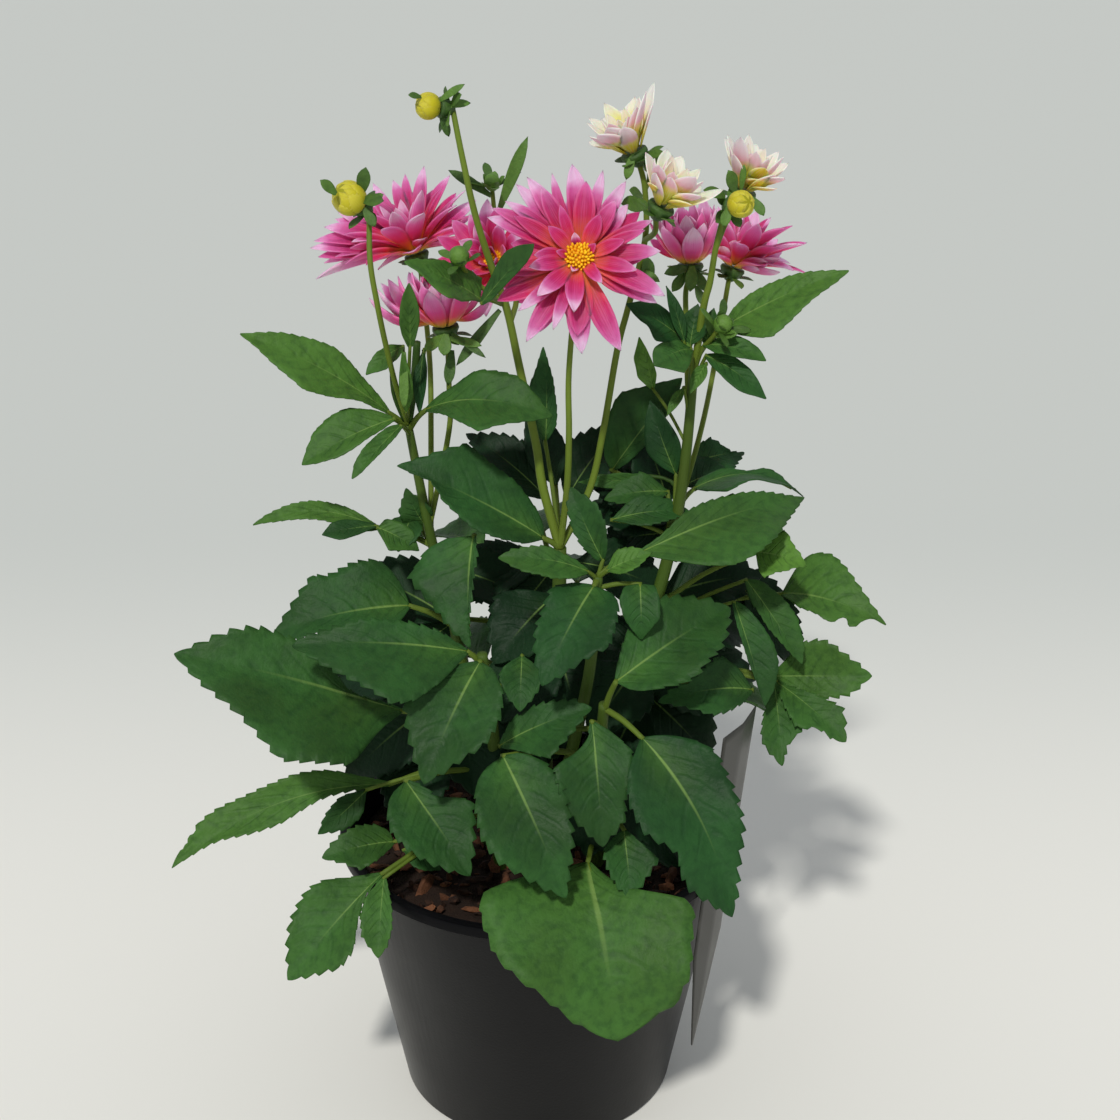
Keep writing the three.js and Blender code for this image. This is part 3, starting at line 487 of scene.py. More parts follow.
def finish_piece(name, shape, finishes, nodes, thickness=None):
    """The piece as an object that rides on the single body and stands for its CAD nodes."""
    mesh = mesh_of(name, shape)
    for finish in finishes:
        mesh.materials.append(FINISHES[finish])
    piece = put_in_scene(name, mesh)
    if thickness:
        shell = piece.modifiers.new("thickness", "SOLIDIFY")
        shell.thickness = thickness
        shell.offset = 0
        shell.material_offset = 1
        shell.material_offset_rim = 0
        shell.use_even_offset = False
    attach(piece, "root")
    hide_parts(*nodes)
    return piece


# Stems: foot and passing points in mm or as view places, with their radii
STEM_FOOT = 118


def spot(x, y, z=STEM_FOOT):
    return Vector((x, y, z)) * MM


STEMS = {
    "left": ([spot(-30, 4), spot(-31, 4, 185), place((452, 610, 8)), place((432, 542, 8)),
              place((408, 424, 6))], (4.8, 2.2)),
    "centre": ([spot(-2, 6), spot(-1, 5, 190), place((556, 640, -4)), place((560, 548, -14))], (5.6, 3.6)),
    "right": ([spot(30, 10), spot(32, 10, 185), place((650, 620, 8)), place((680, 500, 8)),
               place((695, 356, 4))], (5.2, 2.4)),
    "front": ([spot(10, -22), spot(12, -24, 185), place((588, 680, -46)), place((598, 576, -52))],
              (4.2, 2.6)),
    "low_left": ([spot(-20, -24), spot(-22, -26, 180), place((492, 720, -48)), place((482, 654, -58))],
                 (4.4, 2.8)),
    "low_right": ([spot(34, -20), spot(36, -24, 180), place((600, 760, -54)), place((604, 704, -66))],
                  (4.2, 2.8)),
    "back": ([spot(4, 36), spot(5, 44, 190), spot(8, 62, 250), spot(10, 70, 300)], (5, 2.6)),
}


def stem_at(name, height):
    run = STEMS[name][0]
    level = min(height * MM, run[-1].z)
    index = next(i for i in range(1, len(run)) if run[i].z >= level - 1e-9)
    low, high = run[index - 1], run[index]
    return low.lerp(high, (level - low.z) / (high.z - low.z))


# Leaves: stem, height in mm or view place where the petiole joins, base and tip as view places, width in mm,
# and looks. A rim is a list of view columns and rows that the blade's edge passes through
LEAVES = [
    ("left", 408, (388, 412, 2), (240, 334, -12), 30, {
        "arch": 0.08, "widest": 0.36, "tone": 0.6, "blunt": 0.55,
        "rim": [(255, 333), (285, 333), (312, 338), (335, 348), (354, 366), (370, 384), (245, 350),
                (256, 364), (280, 380), (305, 391), (335, 397), (362, 402)]}),
    ("left", 405, (394, 419, -6), (302, 465, -24), 23, {"widest": 0.5, "tone": 0.45,
        "rim": [(304, 450), (312, 433), (327, 418), (348, 408), (374, 409), (318, 464), (338, 457),
                (358, 446), (378, 432)]}),
    ("left", 405, (401, 426, -8), (352, 479, -34), 14, {"arch": 0.04, "tone": 0.35,
        "rim": [(354, 463), (362, 450), (376, 435), (390, 426), (360, 474), (373, 461), (386, 447),
                (397, 436)]}),
    ("left", 412, (403, 347, 2), (366, 375, -12), 15, {"arch": 0.1, "tone": 0.4,
        "rim": [(368, 364), (376, 353), (388, 345), (376, 374), (388, 368), (398, 358)]}),
    ("left", 408, (426, 410, -8), (553, 417, -30), 33, {"arch": 0.17, "widest": 0.5, "tone": 0.26,
        "rim": [(440, 395), (460, 380), (478, 371), (500, 370), (520, 378), (536, 395), (448, 417),
                (466, 424), (485, 436), (505, 437), (530, 429)]}),
    ("left", 412, (410, 346, -26), (409, 283, -40), 12, {"arch": 0.02, "face": (0.2, -1, 0.1), "tone": 0.45,
        "tooth": 0.0, "rim": [(403, 294), (400, 308), (399, 322), (402, 336), (415, 294), (419, 308),
                              (420, 322), (416, 337)]}),
    ("left", 412, (406, 412, -8), (402, 350, -18), 8, {"face": (0.3, -1, 0.2), "tone": 0.6, "tooth": 0.0}),
    ("left", 412, (424, 350, 4), (420, 416, -4), 8, {"face": (-0.3, -1, 0.2), "tone": 0.04, "tooth": 0.0}),
    # Tone 0.55 is partly painted sheen on this leaf's upper face
    ("left", 340, (378, 528, 8), (253, 525, -4), 20, {
        "arch": 0.03, "bend": -0.12, "face": (0, -1, 0.9), "tone": 0.55, "tooth": 0.06,
        "rim": [(268, 514), (290, 504), (320, 501), (345, 506), (365, 517), (275, 522), (300, 519),
                (325, 521), (350, 528), (367, 532)]}),
    ("left", 338, (376, 526, 6), (322, 535, -6), 10, {"arch": 0.04, "tone": 0.1, "tooth": 0.02,
        "rim": [(328, 524), (345, 519), (362, 521), (330, 541), (346, 539), (362, 533)]}),
    ("left", 338, (378, 528, 4), (419, 551, -2), 12, {"arch": 0.1, "tone": 0.35, "tooth": 0.03,
        "rim": [(385, 519), (395, 520), (410, 528), (421, 540), (384, 542), (390, 553), (404, 555)]}),
    ("left", 345, (428, 528, 14), (406, 488, 10), 20, {"arch": 0.1, "tone": 0.2, "face": (-0.3, -1, 0.3),
        "rim": [(418, 490), (430, 500), (433, 515), (400, 496), (398, 510), (404, 524)]}),
    ("left", 335, (412, 516, 14), (398, 552, -4), 20, {"arch": 0.05}),
    ("left", 290, (410, 606, 6), (274, 634, -8), 40, {"arch": 0.1,
        "rim": [(288, 602), (292, 590), (298, 577), (328, 575), (352, 563), (382, 560), (399, 578),
                (297, 640), (325, 632), (350, 629), (362, 637), (385, 634), (401, 621)]}),
    ("left", 300, (474, 536, -14), (470, 648, -48), 40, {"arch": 0.06, "roll": 24,
        "rim": [(450, 537), (426, 549), (410, 572), (405, 600), (415, 622), (440, 638), (477, 552),
                (474, 580), (470, 605), (470, 628)]}),
    ("centre", 350, (543, 538, -16), (397, 466, -22), 42, {
        "arch": 0.06, "widest": 0.55, "tone": 0.1, "tooth": 0.05,
        "rim": [(417, 447), (434, 439), (454, 437), (478, 450), (500, 471), (522, 488), (536, 505),
                (543, 524), (412, 469), (434, 483), (440, 500), (457, 513), (477, 530), (500, 540),
                (526, 544)]}),
    ("centre", (502, 304, -3), (480, 300, -15), (404, 262, -40), 24, {
        "arch": 0.05, "tone": 0.5, "widest": 0.5,
        "rim": [(414, 259), (430, 259), (448, 262), (467, 270), (484, 279), (412, 276), (425, 289),
                (442, 297), (462, 301)]}),
    ("centre", (502, 304, -3), (482, 303, -44), (534, 244, -62), 14, {
        "arch": 0.03, "tone": 0.2, "face": (-0.2, -1, 0.5), "tooth": 0.0, "blunt": 1.4,
        "rim": [(485, 288), (492, 274), (498, 262), (506, 251), (518, 245), (492, 300), (505, 286),
                (516, 274), (527, 262), (533, 252)]}),
    ("centre", 400, (545, 440, 14), (543, 347, 24), 21, {"face": (0.4, -1, 0.2), "tone": 0.08,
        "rim": [(538, 362), (531, 382), (526, 400), (527, 425), (549, 364), (554, 385), (557, 405),
                (556, 428)]}
        ),
    ("front", 345, (603, 560, -50), (571, 487, -40), 20, {"arch": 0.08, "roll": -30,
        "rim": [(597, 561), (583, 548), (572, 530), (567, 505), (608, 548), (606, 525), (598, 505),
                (585, 490)]}),
    ("front", 345, (588, 572, -56), (498, 558, -66), 18, {"arch": 0.12, "tone": 0.3,
        "rim": [(510, 550), (530, 546), (550, 547), (572, 558), (508, 565), (528, 573), (552, 578),
                (575, 579)]}),
    ("front", 345, (607, 571, -56), (652, 553, -56), 15, {"tone": 0.6}),
    ("front", 345, (594, 586, -58), (542, 686, -98), 44, {"arch": 0.12, "widest": 0.4, "tone": 0.045,
        "rim": [(572, 581), (553, 586), (545, 603), (537, 625), (534, 650), (538, 670), (612, 590),
                (620, 603), (617, 622), (610, 645), (592, 664), (570, 671), (554, 679)]}),
    ("front", 340, (640, 584, -54), (641, 640, -66), 23, {"arch": 0.2, "tooth": 0.03,
        "rim": [(624, 586), (619, 600), (624, 618), (632, 631), (655, 585), (660, 600), (660, 620),
                (652, 633)]}),
    ("front", 350, (640, 553, -44), (804, 498, 6), 40, {
        "arch": 0.08, "widest": 0.48, "tone": 0.3, "tooth": 0.045,
        "rim": [(662, 535), (682, 515), (702, 502), (730, 494), (765, 493), (790, 495), (668, 561),
                (700, 566), (735, 564), (758, 553), (777, 537), (789, 518)]}),
    ("right", 448, (722, 328, 8), (849, 271, 0), 29, {
        "arch": 0.05, "widest": 0.45, "tone": 0.6, "blunt": 0.55,
        "rim": [(736, 306), (752, 292), (768, 283), (790, 276), (812, 272), (832, 270), (742, 336),
                (762, 339), (786, 333), (806, 321), (826, 303), (840, 286)]}),
    ("right", 362, (694, 489, 22), (803, 497, 26), 30, {"arch": 0.18, "roll": -35,
        "rim": [(700, 477), (716, 471), (745, 470), (765, 469), (783, 478), (796, 490), (706, 491),
                (730, 490), (760, 491), (785, 495)]}),
    ("right", 436, (704, 345, -2), (766, 361, -14), 14, {"arch": 0.12, "tone": 0.3, "tooth": 0.02,
        "rim": [(715, 339), (732, 335), (748, 340), (760, 349), (716, 353), (732, 356), (750, 360)]}),
    ("right", 430, (706, 356, -2), (766, 399, -16), 16, {"arch": 0.1, "tone": 0.12, "tooth": 0.0,
        "rim": [(716, 353), (735, 357), (750, 368), (760, 384), (712, 366), (725, 380), (740, 391),
                (755, 398)]}),
    ("right", 436, (691, 350, -6), (654, 366, -26), 19, {
        "arch": 0.12, "widest": 0.5, "tone": 0.26, "tooth": 0.0, "blunt": 3,
        "rim": [(652, 356), (654, 347), (665, 342), (680, 341), (656, 373), (667, 379), (680, 378),
                (689, 366)]}
        ),
    ("right", 440, (684, 341, 2), (626, 304, -6), 17, {"arch": 0.06, "tooth": 0.0, "tone": 0.05,
        "rim": [(642, 301), (658, 303), (670, 314), (679, 330), (636, 318), (649, 327), (655, 340),
                (670, 344)]}
        ),
    ("right", 442, (684, 342, -2), (666, 286, 4), 8, {"face": (0.3, -1, 0.2), "tone": 0.06, "tooth": 0.0}),
    ("right", 444, (690, 346, 0), (698, 304, 8), 16, {"face": (-0.2, -1, 0.3), "tone": 0.1, "tooth": 0.0}),
    ("right", 444, (706, 346, 6), (714, 308, 10), 12, {"face": (-0.2, -1, 0.3), "tone": 0.2, "tooth": 0.0}),
    ("right", 425, (706, 364, -4), (690, 394, -16), 8, {"tone": 0.6, "tooth": 0.0}),
    ("right", 415, (684, 388, 2), (667, 416, -6), 6, {"tone": 0.5, "tooth": 0.0}),
    # Tone 0.95 is partly painted light on this pale narrow leaf
    ("right", 400, (652, 388, 30), (639, 337, 26), 9, {"face": (0.2, -1, 0.6), "tone": 0.95, "tooth": 0.0,
        "rim": [(634, 347), (634, 360), (638, 378), (645, 346), (651, 358), (657, 374)]}),
    ("right", 356, (612, 470, 34), (682, 378, 40), 36, {"face": (-0.2, -1, 0.3), "tone": 0.14, "tooth": 0.02,
        "rim": [(603, 455), (606, 425), (614, 400), (630, 384), (655, 375), (628, 463), (646, 445),
                (664, 420), (678, 398)]}),
    ("right", 352, (676, 474, 14), (650, 400, 22), 20, {"face": (-0.3, -1, 0.2), "tone": 0.04, "tooth": 0.0}),
    ("right", 360, (694, 462, 60), (744, 453, 78), 24, {"arch": 0.06, "tone": 0.04, "tooth": 0.1,
        "rim": [(698, 444), (710, 438), (721, 443), (728, 452), (706, 472), (720, 476), (732, 470)]}),
    ("right", 345, (668, 504, 30), (642, 428, 46), 34, {"face": (0.2, -1, 0.3), "tone": 0.0, "tooth": 0.02}),
    ("right", 345, (684, 486, 40), (728, 470, 56), 26, {"tone": 0.02}),
    ("right", 345, (612, 520, 2), (690, 512, 12), 20, {"arch": 0.1}),
    ("right", 345, (668, 492, 20), (604, 500, 14), 22, {"arch": 0.1, "tone": 0.2}),
    ("right", 350, (646, 478, 24), (578, 482, 16), 9, {
        "arch": 0.06, "tone": 0.3, "roll": -40, "tooth": 0.02}),
    # Tone 0.9 is partly painted light on this small leaf
    ("right", 300, (756, 552, -16), (806, 566, -20), 30, {"arch": 0.1, "tone": 0.9, "tooth": 0.05,
        "rim": [(766, 545), (777, 534), (790, 527), (802, 542), (758, 571), (770, 583), (784, 588),
                (797, 574)]}),
    ("right", 290, (782, 594, 22), (886, 625, -8), 36, {
        "arch": 0.14, "widest": 0.36, "tone": 0.5, "tooth": 0.05,
        "rim": [(788, 582), (800, 562), (815, 553), (832, 553), (845, 566), (857, 584), (871, 604),
                (798, 606), (815, 614), (830, 623), (844, 635), (850, 612), (868, 617)]}),
    ("right", 280, (734, 602, -10), (765, 706, -34), 19, {"arch": 0.05, "tooth": 0.04,
        "rim": [(736, 622), (742, 642), (748, 660), (757, 684), (746, 606), (762, 625), (774, 643),
                (779, 662), (774, 690)]}),
    ("right", 285, (746, 580, 8), (802, 664, -12), 22, {"arch": 0.05, "tone": 0.25, "tooth": 0.06,
        "rim": [(762, 580), (783, 598), (798, 618), (804, 641), (750, 600), (766, 625), (787, 650)]}),
    # Tone 0.45 is partly painted sheen on this lobed leaf
    ("right", 262, (770, 676, 8), (872, 676, -6), 38, {"arch": 0.06, "tone": 0.45, "face": (0, -1, 0.5),
        "rim": [(785, 660), (800, 643), (818, 639), (836, 645), (850, 655), (862, 666), (790, 690),
                (815, 697), (832, 698), (853, 694), (862, 684)]}),
    ("right", 262, (776, 682, -2), (846, 742, -34), 32, {"arch": 0.08, "tone": 0.3,
        "rim": [(800, 690), (825, 697), (843, 709), (851, 728), (783, 705), (796, 727), (818, 728),
                (834, 740)]}),
    ("right", 262, (774, 682, -4), (782, 766, -40), 26, {"arch": 0.06, "tone": 0.25,
        "rim": [(768, 700), (763, 715), (761, 735), (766, 751), (774, 761), (790, 703), (803, 722),
                (800, 734), (789, 740), (785, 755)]}),
    ("right", 250, (752, 690, -30), (658, 702, -52), 32, {"arch": 0.12,
        "rim": [(672, 689), (692, 681), (704, 668), (722, 654), (740, 670), (675, 704), (692, 709),
                (712, 715), (730, 711), (745, 703)]}),
    ("low_left", 296, (468, 652, -58), (292, 646, -74), 48, {"arch": 0.08,
        "rim": [(302, 637), (330, 628), (370, 620), (408, 620), (443, 634), (292, 659), (315, 668),
                (335, 687), (358, 699), (385, 705), (415, 700), (445, 680)]}),
    ("low_left", 296, (480, 662, -64), (424, 784, -108), 58, {"arch": 0.1, "widest": 0.4,
        "rim": [(455, 664), (427, 668), (410, 685), (405, 705), (408, 735), (415, 765), (493, 668),
                (504, 690), (501, 715), (490, 738), (475, 753), (452, 765), (437, 775)]}),
    ("low_left", 250, (402, 711, -42), (174, 654, -62), 68, {
        "arch": 0.05, "widest": 0.4, "tone": 0.18,
        "rim": [(380, 730), (354, 766), (330, 765), (282, 759), (245, 735), (217, 715), (190, 678),
                (219, 636), (245, 629), (270, 628), (300, 640), (330, 665), (350, 690), (372, 700)]}),
    ("low_left", 230, (390, 784, -34), (172, 868, -62), 46, {
        "arch": 0.03, "bend": -0.09, "roll": -8, "tone": 0.5, "tooth": 0.06,
        "rim": [(184, 842), (192, 829), (215, 809), (245, 796), (275, 783), (300, 773), (330, 769),
                (362, 776), (190, 853), (215, 842), (252, 834), (282, 823), (303, 809), (326, 797),
                (358, 790)]}),
    ("low_left", 225, (366, 790, -40), (318, 834, -52), 18, {"arch": 0.04, "roll": -40}),
    ("low_left", 222, (406, 781, -70), (470, 876, -100), 48, {"arch": 0.06, "widest": 0.4, "blunt": 1.1,
        "rim": [(390, 795), (386, 812), (391, 832), (408, 850), (428, 861), (450, 870), (422, 785),
                (436, 796), (457, 796), (473, 801), (474, 830), (472, 856)]}),
    ("low_left", 190, (394, 842, -64), (322, 858, -80), 26, {"arch": 0.1, "tone": 0.25,
        "rim": [(330, 845), (344, 833), (360, 825), (376, 824), (389, 831), (330, 866), (346, 869),
                (362, 869), (377, 861), (388, 851)]}),
    ("low_left", 188, (382, 874, -76), (288, 980, -112), 46, {"arch": 0.06, "tone": 0.3,
        "rim": [(354, 876), (327, 878), (310, 888), (299, 901), (291, 920), (288, 948), (366, 894),
                (358, 920), (355, 950), (340, 968), (317, 978)]}),
    ("low_left", 188, (384, 878, -80), (378, 958, -108), 19, {"arch": 0.05, "tone": 0.35,
        "rim": [(366, 896), (360, 915), (362, 938), (370, 952), (389, 890), (392, 908), (392, 928),
                (387, 947)]}),
    ("low_left", 186, (404, 850, -62), (441, 870, -66), 14, {}),
    ("low_left", 270, (522, 656, -50), (520, 712, -72), 24, {"arch": 0.08}),
    ("low_right", 272, (616, 682, -80), (730, 608, -38), 56, {"arch": 0.06, "widest": 0.5, "tone": 0.16,
        "rim": [(617, 662), (625, 634), (645, 608), (666, 597), (695, 593), (716, 599), (630, 690),
                (652, 692), (674, 686), (696, 676), (706, 663), (720, 648), (728, 630)]}),
    ("low_right", 262, (500, 746, -70), (592, 708, -68), 32, {"arch": 0.1,
        "rim": [(512, 718), (535, 706), (560, 700), (582, 699), (520, 752), (550, 759), (575, 752),
                (590, 735), (594, 720)]}),
    ("low_right", 260, (592, 722, -74), (603, 847, -104), 42, {"arch": 0.08,
        "rim": [(588, 740), (570, 757), (552, 764), (558, 785), (567, 810), (582, 835), (612, 731),
                (634, 751), (630, 775), (625, 800), (626, 818), (612, 834)]}),
    ("low_right", 276, (642, 738, -84), (732, 917, -128), 60, {
        "arch": 0.08, "bend": 0.06, "tone": 0.045,
        "rim": [(627, 770), (628, 800), (642, 832), (662, 843), (680, 852), (678, 868), (692, 893),
                (712, 905), (738, 870), (743, 830), (733, 785), (712, 748), (690, 737), (665, 734)]}),
    ("low_right", 240, (503, 756, -84), (566, 898, -122), 56, {"arch": 0.08, "widest": 0.4,
        "rim": [(488, 765), (476, 780), (474, 805), (480, 835), (497, 860), (520, 877), (548, 892),
                (520, 752), (542, 758), (558, 775), (567, 800), (572, 830), (571, 855), (568, 880)]}),
    ("low_right", 200, (624, 830, -84), (631, 900, -108), 36, {"arch": 0.06,
        "rim": [(607, 842), (603, 853), (608, 870), (620, 890), (642, 843), (656, 855), (664, 863),
                (655, 880), (640, 895)]}),
    ("low_right", 182, (588, 862, -82), (618, 1041, -142), 122, {
        "arch": 0.16, "widest": 0.38, "tooth": 0.05, "point": 0.85, "tone": 0.36, "blunt": 2.2,
        "rim": [(575, 868), (545, 872), (510, 870), (495, 873), (486, 885), (480, 900), (481, 918),
                (486, 930), (495, 955), (505, 965), (520, 980), (540, 993), (560, 1010), (580, 1025),
                (603, 1037), (605, 875), (620, 882), (640, 893), (660, 892), (676, 893), (690, 900),
                (695, 915), (693, 930), (691, 950), (690, 970), (684, 987), (678, 1000), (668, 1014),
                (654, 1026), (638, 1036)]}),
]
# Leaves inside the plant, which close the gaps between the outer ones. Their tone of 0 gives them painted
# shade, so that they read as the dark depth between the outer leaves
INNER_LEAVES = [
    ("centre", 350, (548, 500, 30), (466, 434, 52), 30),
    ("right", 345, (668, 508, 44), (620, 452, 56), 36),
    ("centre", 350, (566, 500, 40), (622, 424, 62), 34),
    ("centre", 345, (556, 486, 34), (528, 408, 52), 24),
    ("centre", 330, (545, 560, 30), (446, 598, 44), 38),
    ("centre", 320, (556, 566, 30), (496, 650, 14), 40),
    ("centre", 320, (575, 562, 20), (664, 592, 30), 40),
    ("centre", 300, (556, 640, 14), (628, 706, -8), 42),
    ("centre", 280, (556, 680, 4), (528, 776, -26), 44),
    ("right", 340, (676, 524, 34), (588, 478, 46), 36),
    ("right", 305, (664, 596, 20), (762, 576, 26), 42),
    ("right", 295, (744, 590, 28), (794, 662, 18), 34),
    ("right", 300, (722, 590, 30), (788, 612, 34), 32),
    ("right", 335, (678, 534, 34), (600, 546, 40), 34),
    ("right", 340, (668, 524, 32), (586, 508, 38), 36),
    ("right", 330, (676, 560, 34), (748, 522, 64), 34),
    ("right", 300, (660, 600, 24), (746, 642, 34), 44),
    ("right", 285, (655, 640, 14), (700, 716, -6), 42),
    ("right", 285, (650, 640, 14), (568, 664, 4), 42),
    ("right", 270, (650, 656, 26), (756, 680, 34), 42),
    ("right", 255, (640, 690, 4), (712, 764, -8), 44),
    ("right", 250, (640, 700, 0), (598, 792, -34), 42),
    ("left", 320, (440, 566, 30), (536, 604, 26), 36),
    ("left", 300, (452, 620, 24), (356, 572, 44), 44),
    ("left", 285, (452, 624, 24), (372, 694, 12), 46),
    ("left", 275, (450, 644, 24), (322, 702, 26), 46),
    ("left", 255, (450, 680, 4), (472, 784, -34), 44),
    ("left", 245, (440, 700, 4), (346, 782, -6), 46),
    ("left", 235, (436, 722, 14), (400, 836, -26), 44),
    ("low_left", 240, (484, 742, -32), (544, 806, -44), 42),
    ("low_right", 230, (604, 762, -44), (664, 846, -56), 42),
    ("centre", 290, (554, 596, 2), (494, 664, -24), 44),
    ("centre", 272, (550, 644, -6), (500, 724, -34), 44),
    ("centre", 272, (558, 650, -2), (576, 716, -30), 42),
    ("right", 262, (640, 664, -8), (590, 736, -36), 46),
    ("left", 250, (462, 700, -12), (474, 796, -56), 48),
    ("low_right", 226, (604, 774, -48), (588, 858, -66), 36),
    ("low_right", 222, (616, 780, -40), (682, 868, -58), 44),
]
for on, join, base, tip, width in INNER_LEAVES:
    LEAVES.append((on, join, base, tip, width, {"arch": 0.1, "tone": 0.0}))

# Looks that a leaf has where its entry names no other: arch and bend are shares of its length, fold and roll
# degrees, and blunt is the tip's slope. Tone runs from old and dark to young and light, and is partly painted
# light: high tones stand for light or sheen that some leaves catch, and tones under 0.06 mix in painted shade
LEAF_LOOKS = {
    "arch": 0.07, "bend": 0, "fold": 18, "roll": 0, "widest": 0.42, "point": 1.1, "tooth": 0.1,
    "face": (0, -0.62, 0.78), "tone": 0.12, "rim": None, "blunt": 0.85,
}

# Leaves at the back: three tiers round the far side
BACK_TIERS = [
    {"height": 232, "count": 5, "start": 14, "end": 166, "inner": 66, "outer": 156, "drop": 26, "width": 60,
     "join": 215},
    {"height": 280, "count": 4, "start": 28, "end": 158, "inner": 60, "outer": 138, "drop": 22, "width": 52,
     "join": 255},
    {"height": 318, "count": 3, "start": 50, "end": 140, "inner": 54, "outer": 112, "drop": 12, "width": 42,
     "join": 292},
]
BACK_CENTRE = (8, 24)

# Teeth: mm from one to the next and what each mm of leaf width adds, rows and rise of one tooth, and the
# share of the half width where they begin
TOOTH_PITCH = 3.8
TOOTH_GROWTH = 0.058
TOOTH_STEPS = 4
TOOTH_RISE = (0.0, 0.36, 0.7, 1.0)
TOOTH_FROM = 0.62
LEAF_COLUMNS = 12
LEAF_THICKNESS = 0.55
# Half widths of a traced blade at its base and tip
RIM_ROOT = 1.4
RIM_POINT = 0.3
# Height of the blisters between veins and of the wavy edge, as shares of the width
PUCKER = 0.018
RIPPLE = 0.03
# Leaves that join above this view row have nearly smooth edges
UPPER_ROW = 490
UPPER_TOOTH = 0.035


class Blade:
    """One leaf blade: its frame, its outline and the surface that its points lie on."""

    def __init__(self, base, tip, width, looks, seed):
        looks = {**LEAF_LOOKS, **looks}
        self.looks = looks
        self.base = base
        self.length = (tip - base).length
        self.along = (tip - base).normalized()
        face = Vector(looks["face"]).normalized()
        up = (face - self.along * face.dot(self.along)).normalized()
        up.rotate(Quaternion(self.along, math.radians(looks["roll"])))
        self.up = up
        self.across = self.along.cross(up)
        self.width = width * MM
        self.fold = math.radians(looks["fold"])
        self.draw = random.Random(seed)
        self.ripple = [(self.draw.uniform(0, 1), self.draw.uniform(1.6, 2.8)) for _ in range(2)]
        self.rims = self.rim_stations() if looks["rim"] else None
        self.teeth = max(7, round(self.length / MM / (TOOTH_PITCH + TOOTH_GROWTH * width)))
        self.depth = looks["tooth"] * 3.1 * self.length / self.teeth * min(1, width / 32)

    def hump(self, part):
        return 4 * part * (1 - part) * self.length

    def centre(self, part):
        looks = self.looks
        rise = looks["arch"] * self.hump(part)
        side = -looks["bend"] * self.hump(part)
        return self.base + self.along * (part * self.length) + self.up * rise + self.across * side

    def rim_stations(self):
        """Half widths on each side, from the view places of the rim and the blade's own surface."""
        sides = {side: [(0.0, RIM_ROOT * MM), (1.0, RIM_POINT * MM)] for side in (1, -1)}
        for column, row in self.looks["rim"]:
            rise = 0.0
            for _ in range(16):
                origin = self.base + self.up * rise
                offset = on_plane(column, row, origin, self.up) - origin
                part = min(max(offset.dot(self.along) / self.length, 0.01), 0.99)
                half = offset.dot(self.across) + self.looks["bend"] * self.hump(part)
                target = self.looks["arch"] * self.hump(part) + abs(half) * math.tan(self.fold)
                rise += 0.5 * (target - rise)
            sides[1 if half > 0 else -1].append((part, abs(half) / math.cos(self.fold)))
        return {side: sorted(stations) for side, stations in sides.items()}

    def width_at(self, part, stations):
        index = next((i for i in range(1, len(stations)) if stations[i][0] >= part), len(stations) - 1)
        (low, first), (high, second) = stations[index - 1], stations[index]
        step = min(max((part - low) / max(high - low, 1e-6), 0), 1)
        return first + (second - first) * step

    def half(self, part, side):
        if self.rims:
            stations = self.rims[side]
            near = 0.02 * min(1, 12 * part, 12 * (1 - part))
            smooth = sum(self.width_at(part + near * step, stations) for step in (-2, -1, 0, 1, 2)) / 5
            return min(smooth, self.looks["blunt"] * (1.01 - part) * self.length)
        widest, point = self.looks["widest"], self.looks["point"]
        if part < widest:
            outline = math.sin(0.5 * math.pi * part / widest) ** (0.8 * point)
        else:
            fall = (part - widest) / (1 - widest)
            outline = (1 - fall ** (2.05 / point)) * (1 - 0.14 * fall ** 3)
        return max(0.5 * self.width * outline, 0.0013 if part < 0.02 else 0.0002)

    def form(self, across, part):
        side = 1 if across > 0 else -1
        reach = abs(across)
        half = self.half(part, side)
        step = round(part * self.teeth * TOOTH_STEPS)
        fade = min(1, part * 7) * min(1, (1 - part) * 9)
        tooth = TOOTH_RISE[step % TOOTH_STEPS] * fade * max(0, (reach - TOOTH_FROM) / (1 - TOOTH_FROM)) ** 1.5
        out = half * reach + self.depth * (tooth - 0.4 * fade * reach ** 6)
        out = max(out, 0)
        lift = math.sin(self.fold) * math.sqrt(out * out + 1e-6)
        wave = part - VEIN_SLANT * reach
        pucker = (abs(math.sin(math.pi * VEINS * wave)) - 0.55) * reach * (1 - reach) * 4 * fade
        phase, waves = self.ripple[0 if side > 0 else 1]
        ripple = math.sin(2 * math.pi * (part * waves + phase)) * reach ** 2 * fade
        rise = lift + self.width * (PUCKER * pucker + RIPPLE * ripple)
        point = self.centre(part) + self.across * (side * out * math.cos(self.fold)) + self.up * rise
        return point + self.along * (0.7 * self.depth * tooth)

    def rows(self):
        return self.teeth * TOOTH_STEPS


def back_leaves():
    draw = random.Random(71)
    leaves = []
    for tier in BACK_TIERS:
        for index in range(tier["count"]):
            part = index / (tier["count"] - 1)
            across = tier["start"] + (tier["end"] - tier["start"]) * part
            turn = math.radians(across + draw.uniform(-4, 4))
            out = Vector((math.cos(turn), math.sin(turn), 0))
            centre = Vector((*BACK_CENTRE, 0))
            base = centre + out * tier["inner"] + UP * (tier["height"] + draw.uniform(-4, 4))
            reach = tier["outer"] * draw.uniform(0.94, 1.05)
            tip = centre + out * reach + UP * (tier["height"] - tier["drop"])
            looks = {"face": (0.3 * out.x, 0.3 * out.y, 1), "tone": draw.uniform(0.05, 0.35)}
            leaves.append(("back", tier["join"], base * MM, tip * MM, tier["width"], looks))
    return leaves


def all_leaves():
    placed = []
    for on, join, base, tip, width, looks in LEAVES:
        if base[1] < UPPER_ROW:
            looks = {"tooth": UPPER_TOOTH, **looks}
        placed.append((on, join, place(base), place(tip), width, looks))
    return placed + back_leaves()


# Blossoms: place, the way each looks, and its petals as layers of count, length, width, rise and curl
CORE_BOTTOM = -3
BUD_SEAT = -0.85
CUP_DEPTH = 8
GAP = 0.3

